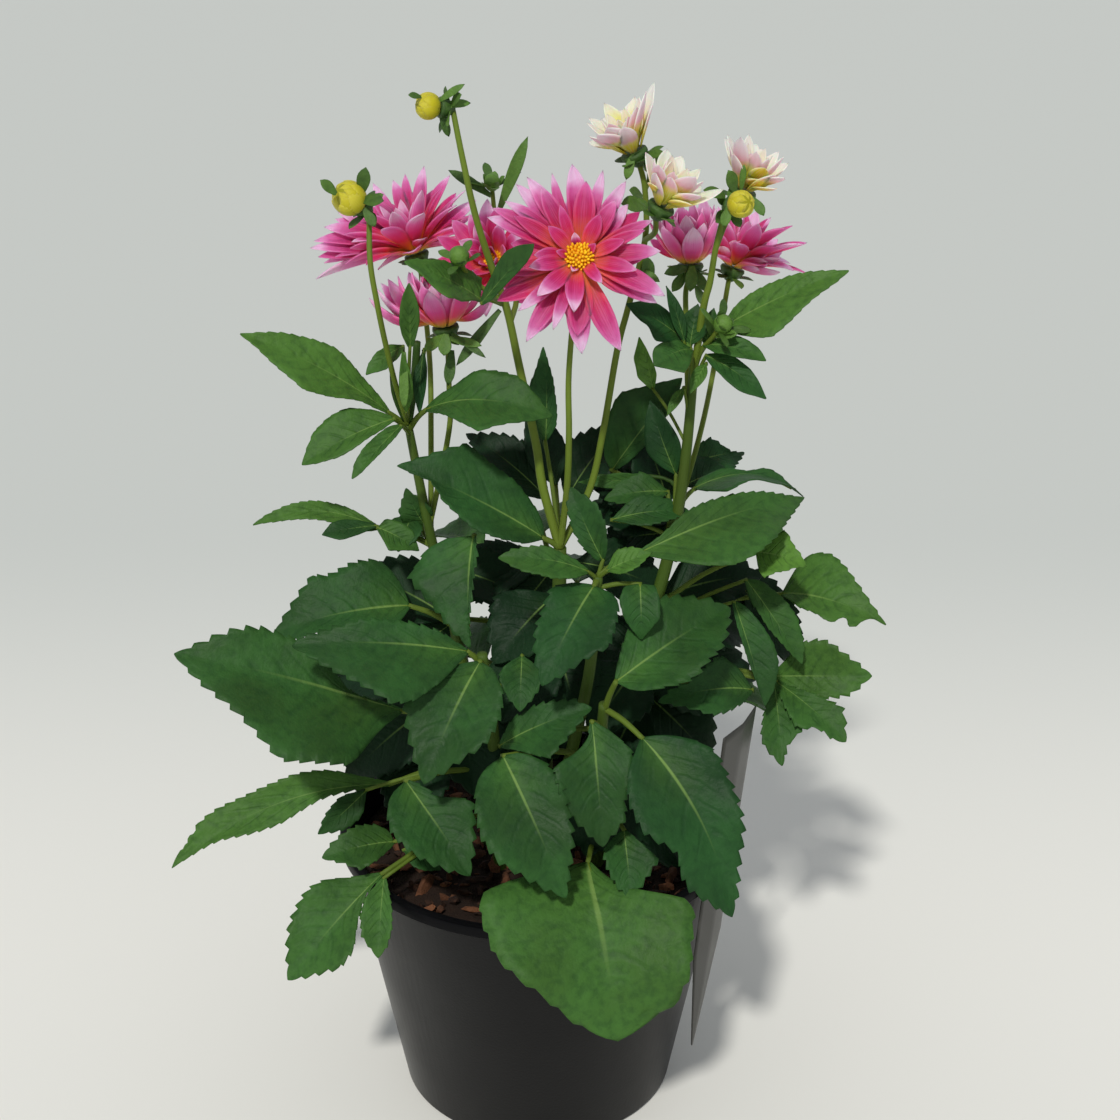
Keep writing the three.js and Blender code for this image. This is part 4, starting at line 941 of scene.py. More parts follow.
MAIN_LAYERS = [
    (11, 33, 10, 0, 0.04), (5, 15, 4.5, 56, 0.04),
]
SIDE_LAYERS = [
    (9, 44, 11, 14, 0.05), (9, 43, 11, 34, 0.05), (8, 40, 10, 54, 0.04), (6, 30, 8, 72, 0.02),
]
CUP_LAYERS = [
    (8, 34, 11, 60, -0.1), (8, 33, 10, 66, -0.1), (7, 29, 9, 74, -0.08), (5, 20, 6, 82, 0.0),
]
SMALL_LAYERS = [
    (8, 34, 10, 18, 0.04), (8, 33, 10, 40, 0.04), (7, 29, 9, 60, 0.02), (5, 20, 6, 76, 0.0),
]
BLOOMS = {
    "main": {"at": (579, 258, -38), "looks": (0.04, -0.86, 0.5), "layers": MAIN_LAYERS, "disc": 6,
             "seed": 11},
    "left": {"at": (414, 248, 84), "looks": (-0.3, 0.02, 0.95), "layers": SIDE_LAYERS, "disc": 4.4,
             "seed": 12},
    "behind": {"at": (494, 262, 46), "looks": (-0.3, -0.8, 0.5), "layers": SMALL_LAYERS, "disc": 4.2,
               "seed": 13},
    "low_left": {"at": (444, 320, 2), "looks": (-0.15, -0.05, 0.98), "layers": CUP_LAYERS, "disc": 4.2,
                 "seed": 14, "curl": -0.2},
    "right": {"at": (690, 258, 42), "looks": (-0.05, 0.05, 0.99), "layers": CUP_LAYERS, "disc": 4.4,
              "seed": 15,
              "curl": -0.14},
    "far_right": {"at": (735, 262, 106), "looks": (0.3, 0.05, 0.95), "layers": SIDE_LAYERS, "disc": 4.4,
                  "seed": 16, "curl": -0.06},
}
# Petals that the view shows one by one: tip column and row, reach, width in mm and tone. Reach is the tip's
# height over the core for the main bloom, and elsewhere its length, less than zero on the near side. Low
# tones
# are partly painted shade: they turn petals that lie in shadow under leaves and blooms deep red
SEEN_PETALS = {
    "main": [
        (572, 164, 3, 11, 0.9), (603, 170, 2, 6.5, 0.9), (552, 173, 4, 5.5, 0.6), (527, 177, 3, 9, 0.8),
        (516, 184, 0, 9, 1.0), (541, 187, 6, 9, 0.45), (626, 181, 0, 8, 1.0), (586, 181, 8, 11, 0.35),
        (505, 201, 5, 7, 0.7), (492, 208, 3, 7.5, 0.4), (487, 217, 1, 9, 0.65), (514, 216, 7, 7.5, 0.1),
        (616, 200, 7, 9, 0.45), (628, 204, 1, 8, 0.9), (653, 220, 5, 6.5, 0.5), (645, 230, 8, 6, 0.35),
        (640, 212, -2, 9, 0.0), (661, 251, 4, 9, 0.55), (637, 270, 9, 8, 0.45), (665, 296, 4, 11, 0.6),
        (657, 303, -1, 9, 0.6), (621, 351, 3, 11.5, 0.5), (582, 354, -1, 12, 0.7), (577, 336, 3, 13, 0.2),
        (574, 312, 12, 9.5, 0.7), (553, 330, 8, 6.5, 0.85), (526, 342, 1, 10, 0.6), (540, 332, -2, 9, 0.4),
        (518, 311, 5, 7, 0.85), (537, 296, 13, 9, 0.75), (529, 267, 11, 8, 0.6), (534, 255, 8, 7, 0.4),
        (497, 301, -1, 12, 0.0), (489, 288, -3, 11, 0.0), (508, 274, 1, 10, 0.0), (602, 283, 14, 6, 0.5),
        (560, 205, 11, 6, 0.3), (600, 214, 10, 8, 0.2), (625, 240, 10, 7, 0.15), (548, 226, 11, 7, 0.2),
    ],
    "left": [
        (424, 166, 48, 9, 0.75), (405, 174, 46, 7, 0.5), (393, 180, 45, 8, 0.6), (373, 183, 48, 8, 0.85),
        (450, 175, 50, 7, 0.6), (437, 188, 45, 9, 0.3), (456, 193, 44, 8, 0.2), (476, 200, 48, 10, 0.9),
        (362, 206, 46, 9, 0.4), (412, 192, 40, 10, 0.25), (386, 202, 42, 10, 0.2), (470, 217, 45, 9, 0.45),
        (472, 228, -40, 8, 0.95), (479, 240, -40, 8, 0.4), (338, 212, 50, 10, 0.8), (335, 219, 50, 10, 0.5),
        (324, 227, 50, 11, 0.65), (314, 241, 50, 11, 0.5), (310, 248, 50, 10, 0.7), (318, 257, 50, 10, 0.3),
        (324, 263, -50, 10, 0.4), (345, 234, -42, 9, 0.1), (350, 248, -42, 9, 0.05),
        (316, 279, -56, 12, 0.95), (378, 270, -32, 9, 0.7), (423, 239, -20, 9, 0.8), (458, 246, -36, 8, 0.45),
        (345, 264, -46, 9, 0.15),
    ],
    "behind": [
        (474, 224, 4, 8, 0.9), (483, 214, 2, 8, 0.8), (468, 240, 4, 8, 0.7), (474, 262, 6, 8, 0.1),
        (484, 273, 8, 8, 0.1), (494, 226, 9, 8, 0.4), (500, 212, 3, 8, 0.6), (480, 246, 12, 7, 0.5),
    ],
    "low_left": [
        (377, 289, -31, 10, 0.8), (381, 283, 34, 9, 0.6), (369, 298, -31, 9, 0.5), (388, 279, 32, 10, 0.9),
        (398, 276, -24, 11, 0.3), (412, 272, -17.5, 12, 0.25), (426, 268, -20, 12, 0.15),
        (441, 268, -17.5, 13, 0.6), (456, 270, -17.5, 12, 0.7), (470, 276, -20, 12, 0.5),
        (482, 286, -17.5, 11, 0.5), (490, 300, -24, 10, 0.5), (434, 262, 26, 11, 0.3),
        (462, 266, 26, 11, 0.4), (384, 298, -28, 10, 0.3), (392, 304, -17.5, 9, 0.2),
    ],
    "right": [
        (650, 239, 26, 8, 0.4), (657, 216, -24, 11, 0.8), (668, 208, -17.5, 12, 0.6), (681, 204, 28, 11, 0.7),
        (692, 200, -24, 12, 0.8), (704, 197, 29, 10, 0.9), (716, 208, -24, 12, 0.7),
        (724, 222, -17.5, 10, 0.5), (678, 212, -20, 12, 0.45), (702, 208, -17.5, 12, 0.5),
        (690, 216, -17.5, 12, 0.6), (661, 226, -17.5, 11, 0.6), (716, 226, -17.5, 11, 0.5),
        (672, 226, -16.5, 11, 0.4), (706, 222, -16.5, 11, 0.4),
    ],
    "far_right": [
        (757, 211, 34, 11, 0.95), (744, 216, -26, 11, 0.85), (765, 224, 32, 9, 0.9), (729, 214, 30, 10, 0.5),
        (778, 239, 34, 10, 0.7), (769, 247, -26, 9, 0.5), (783, 250, 36, 9, 0.85), (781, 258, -32, 9, 0.9),
        (780, 272, -34, 11, 0.7), (758, 268, -24, 11, 0.5), (748, 240, -19, 11, 0.5),
        (735, 240, -20, 10, 0.6), (722, 246, -18, 9, 0.9), (708, 226, 30, 10, 0.5), (768, 262, -26, 10, 0.7),
        (757, 228, -23, 11, 0.7), (768, 236, -25, 10, 0.7), (760, 252, -20, 10, 0.5),
        (745, 230, -20, 10, 0.6),
    ],
    "high": [
        (654, 82, 34, 12, 0.75), (646, 91, -34, 12, 0.85), (633, 100, 33, 12, 0.6), (620, 110, 33, 11, 0.45),
        (604, 117, 33, 11, 0.4), (607, 128, -28, 11, 0.95), (597, 135, -30, 11, 0.7), (589, 142, 30, 11, 0.4),
        (627, 119, -17, 10, 1.0), (640, 105, 30, 11, 0.5), (612, 124, 26, 10, 0.4),
    ],
    "mid": [
        (667, 149, 32, 11, 0.55), (659, 165, -30, 10, 0.35), (679, 164, 33, 11, 0.5),
        (690, 170, 32, 11, 0.45), (696, 177, -30, 11, 0.45), (701, 186, 32, 10, 0.4),
        (701, 196, -28, 10, 0.35), (692, 205, -22, 10, -0.3), (676, 175, -18, 10, 0.95),
        (652, 184, -20, 10, -0.4), (668, 188, -14, 11, -0.6), (684, 194, -17, 11, -0.4),
        (674, 168, 26, 10, 0.5), (686, 183, 24, 10, 0.5),
    ],
    "right_opening": [
        (725, 138, 32, 10, 0.7), (741, 137, -34, 10, 0.8), (757, 144, 32, 10, 0.85), (767, 157, 33, 10, 0.45),
        (777, 158, 34, 10, 0.45), (785, 178, -30, 10, 0.4), (776, 189, -26, 10, -0.1),
        (765, 168, -20, 10, -0.5), (762, 180, -15, 11, -0.6), (733, 145, 30, 10, 0.6),
        (749, 150, 28, 10, 0.6), (771, 170, 26, 10, 0.4),
    ],
}
OPENING_LAYERS = [
    (5, 30, 10, 50, -0.02), (5, 28, 9, 62, -0.04), (6, 23, 7, 74, -0.06), (5, 16, 5, 84, -0.08),
]
OPENING = {
    "high": {"at": (631, 146, 6), "looks": (-0.42, -0.15, 0.9), "seed": 21, "petals": "high"},
    "mid": {"at": (665, 200, -24), "looks": (0.42, -0.2, 0.88), "seed": 22, "petals": "mid"},
    "right": {"at": (746, 184, 12), "looks": (0.32, -0.12, 0.94), "seed": 23, "petals": "right_opening"},
}
BUDS = {
    "high": {"at": (428, 106, 0), "looks": (-0.9, -0.3, 0.15), "radius": 6.6, "seed": 31},
    "left": {"at": (349, 198, -22), "looks": (-0.6, -0.5, 0.55), "radius": 8.6, "seed": 32},
    "right": {"at": (741, 204, -14), "looks": (0.5, -0.75, 0.35), "radius": 6.8, "seed": 33},
}
for blossom in [*BLOOMS.values(), *OPENING.values(), *BUDS.values()]:
    blossom["centre"] = place(blossom["at"])
    blossom["axis"] = Vector(blossom["looks"]).normalized()
    blossom["seat"] = BUD_SEAT * blossom["radius"] if "radius" in blossom else CORE_BOTTOM
    blossom["cup"] = 4.6 if "radius" in blossom else 6

# Flower stalks: stem, height where each leaves it, passing places, blossom, radius
STALKS = [
    ("left", 410, [(397, 390, -6), (386, 346, -20), (377, 303, -30), (370, 260, -28)], BUDS["left"], 1.5),
    ("left", 345, [(431, 437, 26), (430, 365, 50), (424, 300, 78)], BLOOMS["left"], 1.6),
    ("left", 350, [(449, 431, 14), (449, 385, 10)], BLOOMS["low_left"], 1.6),
    ("centre", 352, [(543, 488, -8), (536, 444, -4), (519, 365, 0), (507, 310, -2), (492, 268, -6),
                     (475, 214, -8), (462, 156, -4)], BUDS["high"], 2.6),
    ("centre", 350, [(567, 488, -20), (569, 432, -24), (569, 370, -24)], BLOOMS["main"], 2),
    ("centre", 348, [(589, 491, 0), (603, 432, 2), (617, 351, 4), (628, 308, 6), (645, 240, 8),
                     (645, 190, 8)], OPENING["high"], 2),
    ("right", 350, [(699, 438, 40), (713, 373, 70), (727, 290, 98)], BLOOMS["far_right"], 1.6),
    ("right", 415, [(686, 320, 24), (686, 290, 40)], BLOOMS["right"], 1.6),
    ("right", 430, [(703, 310, 0), (710, 282, 0), (716, 247, -2)], BUDS["right"], 2.2),
]
BRANCHES = [
    ("centre", [(511, 320, -2), (516, 296, 30)], BLOOMS["behind"]),
    ("centre", [(645, 240, 8), (655, 232, -12)], OPENING["mid"]),
    ("right", [(716, 247, -2), (726, 222, 6)], OPENING["right"]),
]
GREEN_BUDS = [
    ("centre", [(510, 316, -2), (506, 300, 34), (500, 280, 60), (497, 240, 60)], (492, 182, 52),
     (0, -0.3, 0.95), 4.5, 41, 17),
    ("centre", [(502, 300, -3), (480, 286, 2), (466, 272, -16)], (459, 256, -24),
     (-0.2, -0.4, 0.85), 5.2, 42, 13),
    ("centre", [(645, 190, 8), (649, 180, 12)], (652, 161, 14), (0.2, -0.1, 0.9), 5.5, 43, 10),
    ("right", [(695, 356, 4), (712, 338, -6)], (723, 324, -12), (0.5, -0.5, 0.7), 5, 44, 17),
]
# Shoots beyond a stem's top: stem, places and radii in mm
SHOOTS = [
    ("left", [(408, 424, 6), (414, 384, 4), (417, 342, 0)], (2.4, 2.0)),
    ("left", [(404, 420, 4), (393, 392, -2), (391, 356, -6)], (1.2, 0.8)),
    ("right", [(680, 500, 10), (664, 478, 22), (590, 476, 24)], (1.4, 0.9)),
]
# Bracts and narrow leaves that the view shows one by one: stem, root and tip as view places, width in mm
BRACTS = [
    ("centre", (438, 102, 0), (465, 84, -4), 4), ("centre", (441, 106, 0), (471, 103, 4), 4.5),
    ("centre", (440, 112, 2), (449, 137, 2), 4.5), ("centre", (421, 97, -4), (408, 95, -8), 3.5),
    ("left", (361, 194, -22), (366, 167, -26), 7), ("left", (362, 200, -24), (384, 201, -32), 7),
    ("left", (336, 194, -34), (320, 180, -38), 5.5), ("left", (364, 208, -24), (375, 227, -28), 5.5),
    ("right", (725, 197, -8), (703, 190, -16), 6), ("right", (729, 206, -12), (723, 227, -16), 5.5),
    ("right", (752, 198, -12), (764, 216, -18), 5.5), ("right", (735, 192, 0), (728, 170, -6), 7),
    ("right", (741, 190, 0), (744, 164, -2), 3.5), ("centre", (646, 206, -4), (621, 204, -18), 9),
    ("centre", (642, 197, 2), (629, 190, -8), 6), ("centre", (633, 154, 2), (626, 180, -2), 5),
    ("centre", (646, 159, 6), (663, 151, 0), 4.5), ("centre", (500, 208, 50), (528, 136, 48), 7),
    ("centre", (491, 196, 52), (448, 170, 50), 6), ("centre", (500, 310, -2), (456, 366, -8), 6),
    ("left", (452, 350, 0), (448, 386, -6), 6), ("left", (448, 338, -6), (482, 346, -14), 5),
    ("left", (452, 334, -6), (486, 358, -16), 4), ("left", (444, 336, -6), (424, 350, -14), 6),
    ("left", (446, 334, -8), (444, 356, -14), 7), ("left", (404, 352, -14), (404, 410, -22), 5),
    ("right", (688, 268, 34), (664, 274, 26), 6), ("right", (692, 266, 34), (690, 292, 24), 7),
    ("right", (686, 272, 34), (672, 292, 24), 6), ("right", (694, 270, 34), (706, 292, 24), 6),
    ("right", (696, 286, 20), (704, 306, 14), 5), ("right", (684, 340, 2), (686, 352, -6), 5),
    ("right", (712, 336, -4), (706, 312, -8), 5), ("right", (716, 336, -8), (738, 334, -16), 5),
    ("centre", (650, 284, 8), (646, 256, 6), 7), ("centre", (636, 270, 8), (660, 282, 0), 5),
]


def spoke(axis, turn):
    """The way that points out from an axis at a turn round it."""
    side = (Vector((1, 0, 0)) - axis * axis.x).normalized()
    return side * math.cos(turn) + axis.cross(side) * math.sin(turn)


def raised(out, axis, lean):
    return out * math.cos(lean) + axis * math.sin(lean)


def stalk_top(blossom):
    return blossom["centre"] + blossom["axis"] * (blossom["seat"] - GAP - CUP_DEPTH + 1) * MM


def petal_outline(part, claw, widest):
    if part < widest:
        return claw + (1 - claw) * math.sin(math.pi / 2 * part / widest) ** 1.2
    return (1 - ((part - widest) / (1 - widest)) ** 2.1) ** 0.9


PETAL_COLUMNS = 6
PETAL_THICKNESS = 0.5
PETAL_HOLLOW = 0.28
PETAL_CLAW = 0.34
PETAL_WIDEST = 0.56


def add_petal(shape, root, tip, face, width, draw, curl, tone, rows):
    """A pointed petal from its root to its tip, hollow towards the face that it turns to the light."""
    length = (tip - root).length
    along = (tip - root).normalized()
    across = along.cross(face).normalized()
    up = across.cross(along)
    twist = draw.uniform(-0.25, 0.25)
    sway = draw.uniform(-0.04, 0.04) * length
    hollow = PETAL_HOLLOW * draw.uniform(0.7, 1.3)

    def form(column, part):
        half = 0.5 * width * petal_outline(part, PETAL_CLAW, PETAL_WIDEST)
        turn = twist * part
        side = across * math.cos(turn) + up * math.sin(turn)
        rise = up * math.cos(turn) - across * math.sin(turn)
        hump = 4 * part * (1 - part)
        centre = root.lerp(tip, part) + up * (curl * length * hump) + across * (sway * hump)
        ridge = 0.00022 * math.cos(2.5 * math.pi * column) * hump
        return centre + side * (column * half) + rise * (hollow * half * column * column + ridge)

    add_sheet(shape, PETAL_COLUMNS, rows, form, tone)


def add_layers(shape, blossom, layers, draw, ring=5.2, step=1.1):
    centre, axis, seat = blossom["centre"], blossom["axis"], blossom["seat"]
    for tier, (count, length, width, rise, curl) in enumerate(layers):
        offset = (tier % 2) * 0.5 + draw.uniform(-0.1, 0.1)
        for index in range(count):
            turn = 2 * math.pi * (index + offset) / count + draw.uniform(-0.09, 0.09)
            out = spoke(axis, turn)
            lean = math.radians(rise + draw.uniform(-6, 6))
            radius = ring * (1 - 0.12 * tier)
            root = centre + (out * radius + axis * (seat + 0.8 + step * tier)) * MM
            reach = (length * draw.uniform(0.9, 1.06) - radius) * MM
            tip = root + raised(out, axis, lean) * reach
            face = axis * math.cos(lean) - out * math.sin(lean)
            add_petal(shape, root, tip, face, width * draw.uniform(0.88, 1.08) * MM, draw,
                      curl + draw.uniform(-0.03, 0.04), draw.random(), rows=12)


def sight_tip(column, row, centre, reach):
    """The point on a line of sight that is a petal's length from the centre, on its far or near side."""
    ray = view_ray(column, row).normalized()
    away = centre - EYE
    middle = away.dot(ray)
    spare = (reach * MM) ** 2 - (away.length_squared - middle ** 2)
    return EYE + ray * (middle + math.copysign(math.sqrt(max(spare, 0)), reach))


def add_seen(shape, blossom, tip, width, tone, draw, ring=5, curl=0.05, lit=0.0):
    """A petal from the core to a tip, with its hollow face to the blossom's axis or turned to the view."""
    centre, axis = blossom["centre"], blossom["axis"]
    height = (tip - centre).dot(axis)
    out = tip - centre - axis * height
    lean = math.atan2(height, out.length)
    out.normalize()
    rise = max(math.sin(lean), 0)
    root = centre + (out * ring * (1 - 0.55 * rise) + axis * (blossom["seat"] + 1.6 + 2.5 * rise)) * MM
    face = axis * math.cos(lean) - out * math.sin(lean)
    face = (face + (EYE - centre).normalized() * lit).normalized()
    add_petal(shape, root, tip, face, width * MM, draw, curl, tone, rows=14)


# Florets in one disc, and the turn from each to the next, which packs them evenly
FLORETS = 60
GOLDEN_TURN = 2.39996
# How far a petal's face turns to the view: on the far side of a bloom, and on the near side
FAR_LIT = 0.9
NEAR_LIT = -0.7


def make_rays(name, bloom, draw):
    centre, axis = bloom["centre"], bloom["axis"]
    rays = new_mesh()
    add_layers(rays, bloom, bloom["layers"], draw)
    for column, row, reach, width, tone in SEEN_PETALS[name]:
        if name in ("main", "behind"):
            tip, lit = on_plane(column, row, centre + axis * (reach * MM), axis), 0
        else:
            tip, lit = sight_tip(column, row, centre, reach), FAR_LIT if reach > 0 else NEAR_LIT
        add_seen(rays, bloom, tip, width, tone, draw, curl=bloom.get("curl", 0.05), lit=lit)
    finish_piece(f"rays_{name}", rays, ("pink", "pink_back"), [f"petals_{name}"],
                 PETAL_THICKNESS * MM)


def make_disc(name, bloom, draw):
    centre, axis, disc = bloom["centre"], bloom["axis"], bloom["disc"]
    florets = new_mesh()
    low = CORE_BOTTOM + 4.2
    dome = [(0, low - 2.5), (disc * 0.9, low - 2.5), (disc, low), (disc * 0.8, low + 1.8),
            (disc * 0.4, low + 2.8), (0, low + 3.2)]
    add_turned(florets, dome, centre, axis, 20, tone=0.2)
    for index in range(FLORETS):
        radius = disc * math.sqrt((index + 0.5) / FLORETS)
        out = spoke(axis, index * GOLDEN_TURN)
        foot = centre + (out * radius + axis * (low + 2.6 * (1 - (radius / disc) ** 2))) * MM
        lean = (axis + out * (0.7 * radius / disc) + out * draw.uniform(-0.2, 0.2)).normalized()
        head = foot + lean * draw.uniform(2.4, 3.8) * MM
        add_stalk(florets, [foot, foot.lerp(head, 0.6), head], (0.6 * MM, 0.85 * MM, 0.4 * MM), sides=5,
                  steps=1, tone=draw.uniform(0.3, 1.0))
    finish_piece(f"florets_{name}", florets, ("gold",), [f"disc_{name}"])


def make_bloom(name, bloom):
    draw = random.Random(bloom["seed"])
    make_rays(name, bloom, draw)
    make_disc(name, bloom, draw)


def make_opening(name, flower):
    draw = random.Random(flower["seed"])
    petals = new_mesh()
    add_layers(petals, flower, OPENING_LAYERS, draw, ring=4.6, step=1.0)
    for column, row, reach, width, tone in SEEN_PETALS[flower["petals"]]:
        tip = sight_tip(column, row, flower["centre"], reach)
        add_seen(petals, flower, tip, width, tone, draw, ring=4.4, curl=-0.03)
    finish_piece(f"half_open_{name}", petals, ("cream", "cream_back"), [f"opening_{name}"],
                 PETAL_THICKNESS * MM)


# A yellow bud: its core as a share of its radius, and tiers of scales as count, low and high edge and half
# spread in degrees
BUD_CORE = 0.93
BUD_TIERS = [(6, -56, 40, 36), (6, -40, 62, 34), (5, -10, 80, 34)]
SCALE_THICKNESS = 0.35


def make_bud(name, bud):
    """A ball of folded scales, each wrapped on the one before, from the seat to the top."""
    draw = random.Random(bud["seed"])
    centre, axis, radius = bud["centre"], bud["axis"], bud["radius"] * MM
    scales = new_mesh()
    angles = [math.radians(angle) for angle in range(-50, 90, 10)]
    ball = [(BUD_CORE * math.cos(angle), BUD_CORE * math.sin(angle)) for angle in angles]
    profile = [(0, BUD_SEAT), (0.5, BUD_SEAT), *ball, (0, BUD_CORE)]
    add_turned(scales, profile, centre, axis, 24, unit=radius, tone=0.4)
    for tier, (count, low, high, spread) in enumerate(BUD_TIERS):
        for index in range(count):
            turn = 2 * math.pi * (index + 0.5 * tier) / count + draw.uniform(-0.08, 0.08)
            skin = radius * (1.0 - 0.025 * tier)

            def form(column, part):
                lean = math.radians(low + (high - low) * part)
                wide = math.radians(spread) * petal_outline(part, 0.75, 0.45)
                angle = turn + 0.35 * part + column * wide
                swell = skin * (1 + 0.03 * (1 - column * column) - 0.02 * part)
                return centre + raised(spoke(axis, angle), axis, lean) * swell

            add_sheet(scales, 6, 8, form, draw.random())
    finish_piece(f"scaled_bud_{name}", scales, ("bud", "bud"), [f"bud_{name}"],
                 SCALE_THICKNESS * MM)


def add_cup(shape, blossom, draw, finish):
    """The green cup below a blossom, with bracts that stand out round it."""
    centre, axis = blossom["centre"], blossom["axis"]
    top = blossom["seat"] - GAP
    cup = blossom["cup"]
    profile = [(0, top), (1.15 * cup, top), (1.22 * cup, top - 1.5), (0.9 * cup, top - 5),
               (0.4 * cup, top - CUP_DEPTH), (0, top - CUP_DEPTH)]
    add_turned(shape, profile, centre, axis, 14, tone=0.3, finish=finish)
    for index in range(5):
        out = spoke(axis, 2 * math.pi * (index + draw.uniform(0, 0.3)) / 5)
        root = centre + (out * 0.6 * cup + axis * (top - 5.5)) * MM
        lean = math.radians(draw.uniform(-24, 24))
        tip = root + raised(out, axis, lean) * draw.uniform(8, 12) * MM
        add_bract(shape, root, tip, axis, 6.4 * MM, draw, finish)


BRACT_THICKNESS = 0.35
BRACT_FACE = Vector((0.1, -1, 0.6))


def add_bract(shape, root, tip, face, width, draw, finish):
    """A small spoon-shaped green leaf with a thickness of its own."""
    length = (tip - root).length
    along = (tip - root).normalized()
    across = along.cross(face).normalized()
    up = across.cross(along)
    bend = draw.uniform(-0.22, -0.02)
    thick = BRACT_THICKNESS * MM

    def form(column, part):
        turn = math.pi * column
        half = 0.5 * width * petal_outline(part, 0.4, 0.6)
        reach = math.sin(turn)
        centre = root.lerp(tip, part) + up * (bend * length * (part ** 2 - part))
        lift = 0.25 * half * reach * reach + thick * math.cos(turn) * min(1, 4 * (1 - part))
        return centre + across * (reach * half) + up * lift

    made = add_sheet(shape, 12, 8, form, draw.uniform(0.3, 0.9), finish)
    bmesh.ops.remove_doubles(shape, verts=made, dist=SEAM)


def add_green_bud(shape, by, at, looks, radius, seed, bract, finish):
    draw = random.Random(seed)
    centre = place(at)
    axis = Vector(looks).normalized()
    add_stalk(shape, [*map(place, by), centre - axis * radius * MM], (1.3 * MM, 1.2 * MM), tone=0.7)
    profile = [(0, -1.1), (0.5, -1.0), (0.95, -0.4), (1, 0.1), (0.8, 0.65), (0.4, 0.95), (0, 1.02)]
    add_turned(shape, profile, centre, axis, 16, unit=radius * MM, tone=0.9, finish=finish)
    for tier, count, length, rise in ((0, 4, bract, 25), (1, 5, 0.55 * bract, 62)):
        for index in range(count):
            turn = 2 * math.pi * (index + 0.5 * tier + draw.uniform(-0.1, 0.1)) / count + seed
            out = spoke(axis, turn)
            lean = math.radians(rise + draw.uniform(-12, 12))
            root = centre + (out * 0.75 * radius - axis * 0.6 * radius) * MM
            tip = root + raised(out, axis, lean) * (length - 0.6 * radius) * MM
            add_bract(shape, root, tip, axis, 5 * MM, draw, finish)


def on_stem(rows, name):
    return [row[1:] for row in rows if row[0] == name]


def add_leaf_stalk(shape, blade, origin, base, width):
    """The petiole from the stem to a blade, and the rib under the blade."""
    middle = origin.lerp(base, 0.5) + Vector((0, 0, 0.06)) * (base - origin).length
    run_in = [origin, middle, base + (base - middle).normalized() * MM]
    thin = min(1, width / 40)
    radii = [(0.7 + part * thin) * MM for part in (1.2, 1.0, 0.7)]
    add_stalk(shape, run_in, radii, sides=8, steps=4, tone=0.55)
    under = blade.up * (-0.45 * MM)
    ribs = [blade.centre(part) + under for part in (0.0, 0.12, 0.3, 0.5, 0.7, 0.88)]
    add_stalk(shape, ribs, (1.2 * MM, 0.7 * MM, 0.35 * MM), sides=6, steps=2, tone=0.9)


def make_stems():
    leaves = all_leaves()
    for name, (run, (start, end)) in STEMS.items():
        draw = random.Random(name)
        green = new_mesh()
        add_stalk(green, run, (start * MM, end * MM), sides=16, steps=8, tone=0.25)
        blades = new_mesh()
        for index, (join, base, tip, width, looks) in enumerate(on_stem(leaves, name)):
            blade = Blade(base, tip, width, looks, f"{name} {index}")
            add_sheet(blades, LEAF_COLUMNS, blade.rows(), blade.form, blade.looks["tone"])
            origin = place(join) if isinstance(join, tuple) else stem_at(name, join)
            add_leaf_stalk(green, blade, origin, base, width)
        for join, by, blossom, radius in on_stem(STALKS, name):
            points = [stem_at(name, join), *map(place, by), stalk_top(blossom)]
            add_stalk(green, points, (radius * MM, 1.4 * MM), tone=0.75, steps=6)
            add_cup(green, blossom, draw, 1)
        for by, radii in on_stem(SHOOTS, name):
            add_stalk(green, list(map(place, by)), [radius * MM for radius in radii], tone=0.05)
        for by, blossom in on_stem(BRANCHES, name):
            add_stalk(green, [*map(place, by), stalk_top(blossom)], (1.6 * MM, 1.4 * MM), tone=0.7)
            add_cup(green, blossom, draw, 1)
        for by, at, looks, radius, seed, bract in on_stem(GREEN_BUDS, name):
            add_green_bud(green, by, at, looks, radius, seed, bract, 1)
        for root, tip, width in on_stem(BRACTS, name):
            add_bract(green, place(root), place(tip), BRACT_FACE, width * MM, draw, 1)
        finish_piece(f"stalks_{name}", green, ("stalk", "cup"), [f"stem_{name}"])
        finish_piece(f"leaves_{name}", blades, ("leaf", "leaf_back"), [f"stem_{name}"],
                     LEAF_THICKNESS * MM)


# Pot, soil and label
POT_HEIGHT = 168
RIM_RADIUS = 115
RIM_HEIGHT = 7
WALL_TOP_RADIUS = 111
BASE_RADIUS = 81
WALL = 2
FLOOR = 3
DRAIN_RADIUS = 6
DRAIN_RING = 52
DRAIN_COUNT = 6
SOIL_LEVEL = 152
BARK_CHIPS = 520
CHIP_REACH = 100


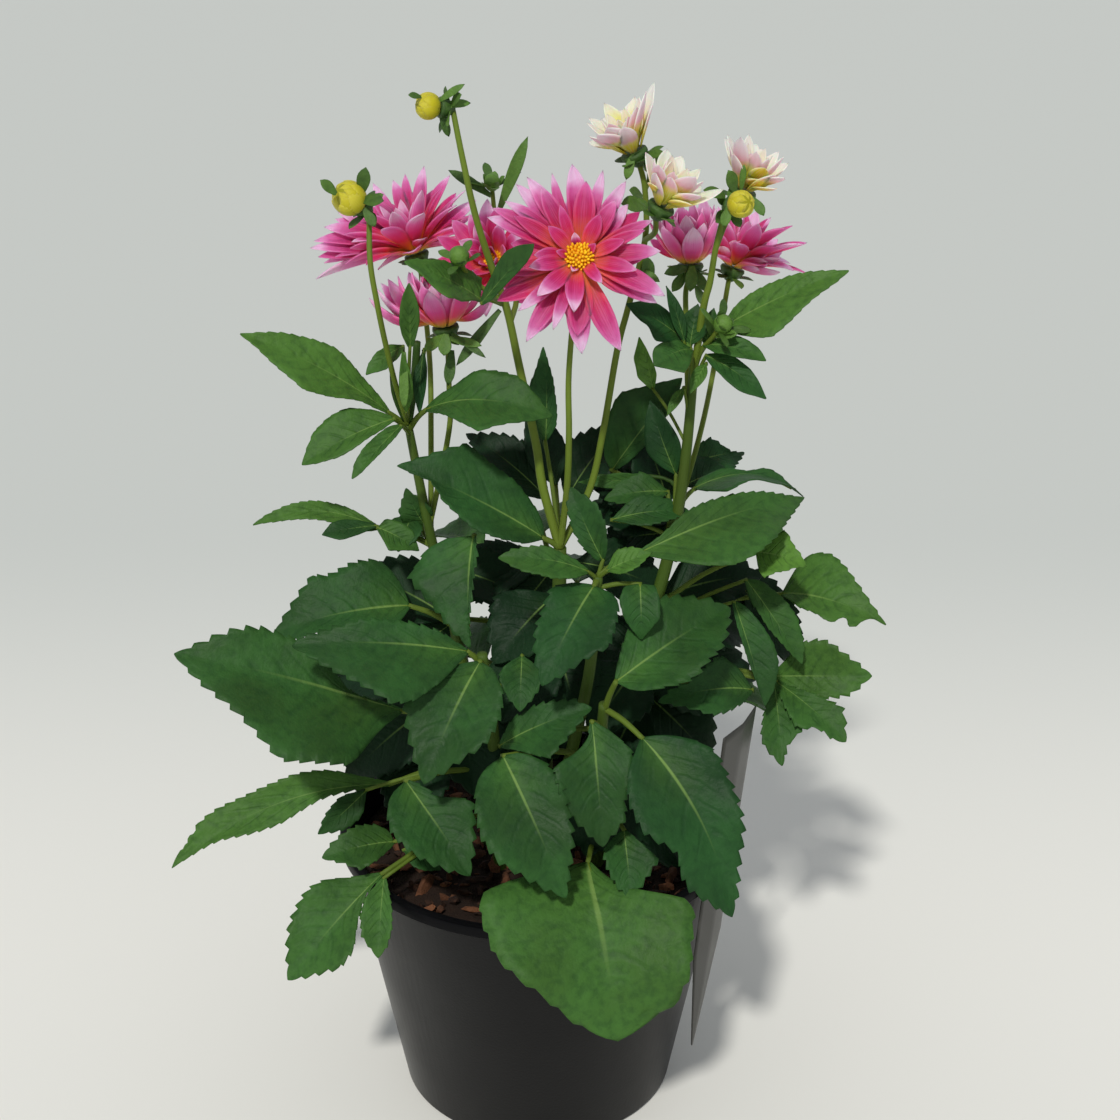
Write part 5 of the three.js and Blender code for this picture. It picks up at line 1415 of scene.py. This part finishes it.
def make_pot():
    shell = new_mesh()
    rim_low = POT_HEIGHT - RIM_HEIGHT
    profile = [
        (0, 0), (BASE_RADIUS - 4, 0), (BASE_RADIUS - 1, 0.4), (BASE_RADIUS, 1.6),
        (WALL_TOP_RADIUS - 0.3, rim_low - 1.2), (WALL_TOP_RADIUS + 0.6, rim_low),
        (RIM_RADIUS - 1, rim_low + 0.2), (RIM_RADIUS, rim_low + 1.2),
        (RIM_RADIUS, POT_HEIGHT - 1.6), (RIM_RADIUS - 0.5, POT_HEIGHT - 0.5),
        (RIM_RADIUS - 1.6, POT_HEIGHT), (WALL_TOP_RADIUS - WALL + 0.8, POT_HEIGHT),
        (WALL_TOP_RADIUS - WALL, POT_HEIGHT - 0.8), (WALL_TOP_RADIUS - WALL, rim_low),
        (BASE_RADIUS - WALL, FLOOR), (0, FLOOR),
    ]
    add_turned(shell, profile, Vector(), UP, 120)
    pot = finish_piece("nursery_pot", shell, ("pot",), ["pot"])
    punch = new_mesh()
    hole = [(0, -5), (DRAIN_RADIUS, -5), (DRAIN_RADIUS, 8), (0, 8)]
    for index in range(DRAIN_COUNT):
        turn = 2 * math.pi * index / DRAIN_COUNT
        centre = Vector((DRAIN_RING * math.cos(turn), DRAIN_RING * math.sin(turn), 0)) * MM
        add_turned(punch, hole, centre, UP, 32)
    cutter = put_in_scene("drain_holes", mesh_of("drain_holes", punch))
    cut = pot.modifiers.new("drain_holes", "BOOLEAN")
    cut.object = cutter
    cut.operation = "DIFFERENCE"
    cut.solver = "EXACT"
    graph = bpy.context.evaluated_depsgraph_get()
    drilled = bpy.data.meshes.new_from_object(pot.evaluated_get(graph))
    pot.modifiers.clear()
    pot.data = drilled
    bpy.data.objects.remove(cutter)
    drilled.set_sharp_from_angle(angle=math.radians(32))


def inner_radius(height):
    slope = (WALL_TOP_RADIUS - BASE_RADIUS) / (POT_HEIGHT - RIM_HEIGHT - FLOOR)
    return BASE_RADIUS - WALL + slope * (height - FLOOR)


def make_soil():
    """Peat with a crumbled top inside the pot, and bark chips on it."""
    draw = random.Random(9)
    soil = new_mesh()
    top_rows, side_rows = 44, 6
    rows = top_rows + side_rows + 4
    edge = inner_radius(SOIL_LEVEL) - 1

    def form(across, part):
        step = round(part * rows)
        turn = math.pi * across
        if step <= top_rows:
            radius, height = edge * step / top_rows, SOIL_LEVEL
            spot_on = Vector((radius * math.cos(turn), radius * math.sin(turn), 0))
            height += 2.4 * noise.noise(spot_on * 0.06) + 1.8 * noise.noise(spot_on * 0.2)
            height += 1.1 * noise.noise(spot_on * 0.55) - 2.5 * step / top_rows
        elif step <= top_rows + side_rows:
            height = SOIL_LEVEL - 3 - (SOIL_LEVEL - 6) * (step - top_rows) / side_rows
            radius = inner_radius(height) - 0.9
        else:
            radius = (inner_radius(FLOOR) - 0.9) * (rows - step) / 4
            height = FLOOR + 0.4
        return Vector((radius * math.cos(turn), radius * math.sin(turn), height)) * MM

    made = add_sheet(soil, 132, rows, form, 0.35)
    bmesh.ops.remove_doubles(soil, verts=made, dist=SEAM)
    bmesh.ops.recalc_face_normals(soil, faces=soil.faces)
    layer = soil.verts.layers.float["tone"]
    for _ in range(BARK_CHIPS):
        radius = CHIP_REACH * math.sqrt(draw.random())
        turn = draw.uniform(0, 2 * math.pi)
        size = draw.uniform(1.4, 4.2) * (1 if draw.random() < 0.8 else 1.5)
        height = SOIL_LEVEL + draw.uniform(-2, 1.5)
        centre = Vector((radius * math.cos(turn), radius * math.sin(turn), height))
        chip = bmesh.ops.create_icosphere(soil, subdivisions=1, radius=1)["verts"]
        way = (draw.uniform(-1, 1), draw.uniform(-1, 1), draw.uniform(-0.3, 1))
        spin = Quaternion(way, draw.uniform(0, 3.1))
        stretch = Vector((draw.uniform(1.0, 2.2), draw.uniform(0.6, 1.1), draw.uniform(0.25, 0.6))) * size
        tone = draw.random() ** 2
        for vert in chip:
            jag = 1 + draw.uniform(-0.28, 0.28)
            local = Vector((vert.co.x * stretch.x, vert.co.y * stretch.y, vert.co.z * stretch.z)) * jag
            local.rotate(spin)
            vert.co = (centre + local) * MM
            vert[layer] = tone
        for face in {face for vert in chip for face in vert.link_faces}:
            face.material_index = 1
            face.smooth = False
    finish_piece("potting_mix", soil, ("peat", "bark"), ["soil"])


LABEL = {
    "turn": -29, "lean": 5.7, "stand": 0.8, "hook": 8, "thick": 0.8,
    "top": 266, "shoulder": 121, "tip": 45, "width": 42, "waist": 35,
}


def make_label():
    """A tapered label with a fold down its middle, and the hook that holds it on the rim."""
    label = new_mesh()
    lean = math.radians(LABEL["lean"])
    turn = Quaternion(UP, math.radians(LABEL["turn"]))

    def seated(out, side, height):
        rise = height - POT_HEIGHT
        radius = RIM_RADIUS + LABEL["stand"] + out * math.cos(lean) + rise * math.sin(lean)
        point = Vector((radius, side, POT_HEIGHT + rise * math.cos(lean) - out * math.sin(lean)))
        point.rotate(turn)
        return point * MM

    def blade(across, part):
        height = LABEL["top"] + (LABEL["tip"] - LABEL["top"]) * part
        if height > LABEL["shoulder"]:
            step = (LABEL["top"] - height) / (LABEL["top"] - LABEL["shoulder"])
            half = 0.5 * (LABEL["width"] + (LABEL["waist"] - LABEL["width"]) * step)
        else:
            half = 0.5 * LABEL["waist"] * (height - LABEL["tip"]) / (LABEL["shoulder"] - LABEL["tip"]) + 0.5
        crease = 2.2 * (1 - abs(across)) * half / LABEL["width"] * 2
        return seated(crease + 0.4, across * half, height)

    add_sheet(label, 12, 44, blade)
    inner = WALL_TOP_RADIUS - WALL - 1 - LABEL["thick"] / 2
    bend = [(inner, POT_HEIGHT - LABEL["hook"]), (inner, POT_HEIGHT - 1), (inner + 0.8, POT_HEIGHT + 0.6),
            (inner + 2, POT_HEIGHT + 0.8), (RIM_RADIUS + LABEL["stand"] + 0.6, POT_HEIGHT + 0.8)]

    def hook(across, part):
        step = min(part * (len(bend) - 1), len(bend) - 1 - 1e-6)
        low = int(step)
        radius, height = (a + (b - a) * (step - low) for a, b in zip(bend[low], bend[low + 1]))
        point = Vector((radius, across * LABEL["hook"] / 2, height))
        point.rotate(turn)
        return point * MM

    add_sheet(label, 4, (len(bend) - 1) * 3, hook)
    finish_piece("plant_label", label, ("label", "label"), ["label"], LABEL["thick"] * MM)


def make_stage():
    shape = new_mesh()
    add_sheet(shape, 4, 4, lambda across, along: Vector((8 * across, 8 * (2 * along - 1), -0.0005)))
    floor = put_in_scene("pale_floor", mesh_of("pale_floor", shape))
    floor.data.materials.append(FINISHES["floor"])
    world = bpy.data.worlds.new("soft_room")
    world.use_nodes = True
    world.node_tree.nodes["Background"].inputs["Color"].default_value = srgb(228, 232, 238)
    world.node_tree.nodes["Background"].inputs["Strength"].default_value = 0.58
    bpy.context.scene.world = world
    make_sun("key", (0.16, 0.66, -0.72), 4, 2.3, (1.0, 0.98, 0.94))


make_camera()
FINISHES = make_finishes()
make_stage()
make_pot()
make_soil()
make_label()
make_stems()
for name, bloom in BLOOMS.items():
    make_bloom(name, bloom)
for name, flower in OPENING.items():
    make_opening(name, flower)
for name, bud in BUDS.items():
    make_bud(name, bud)
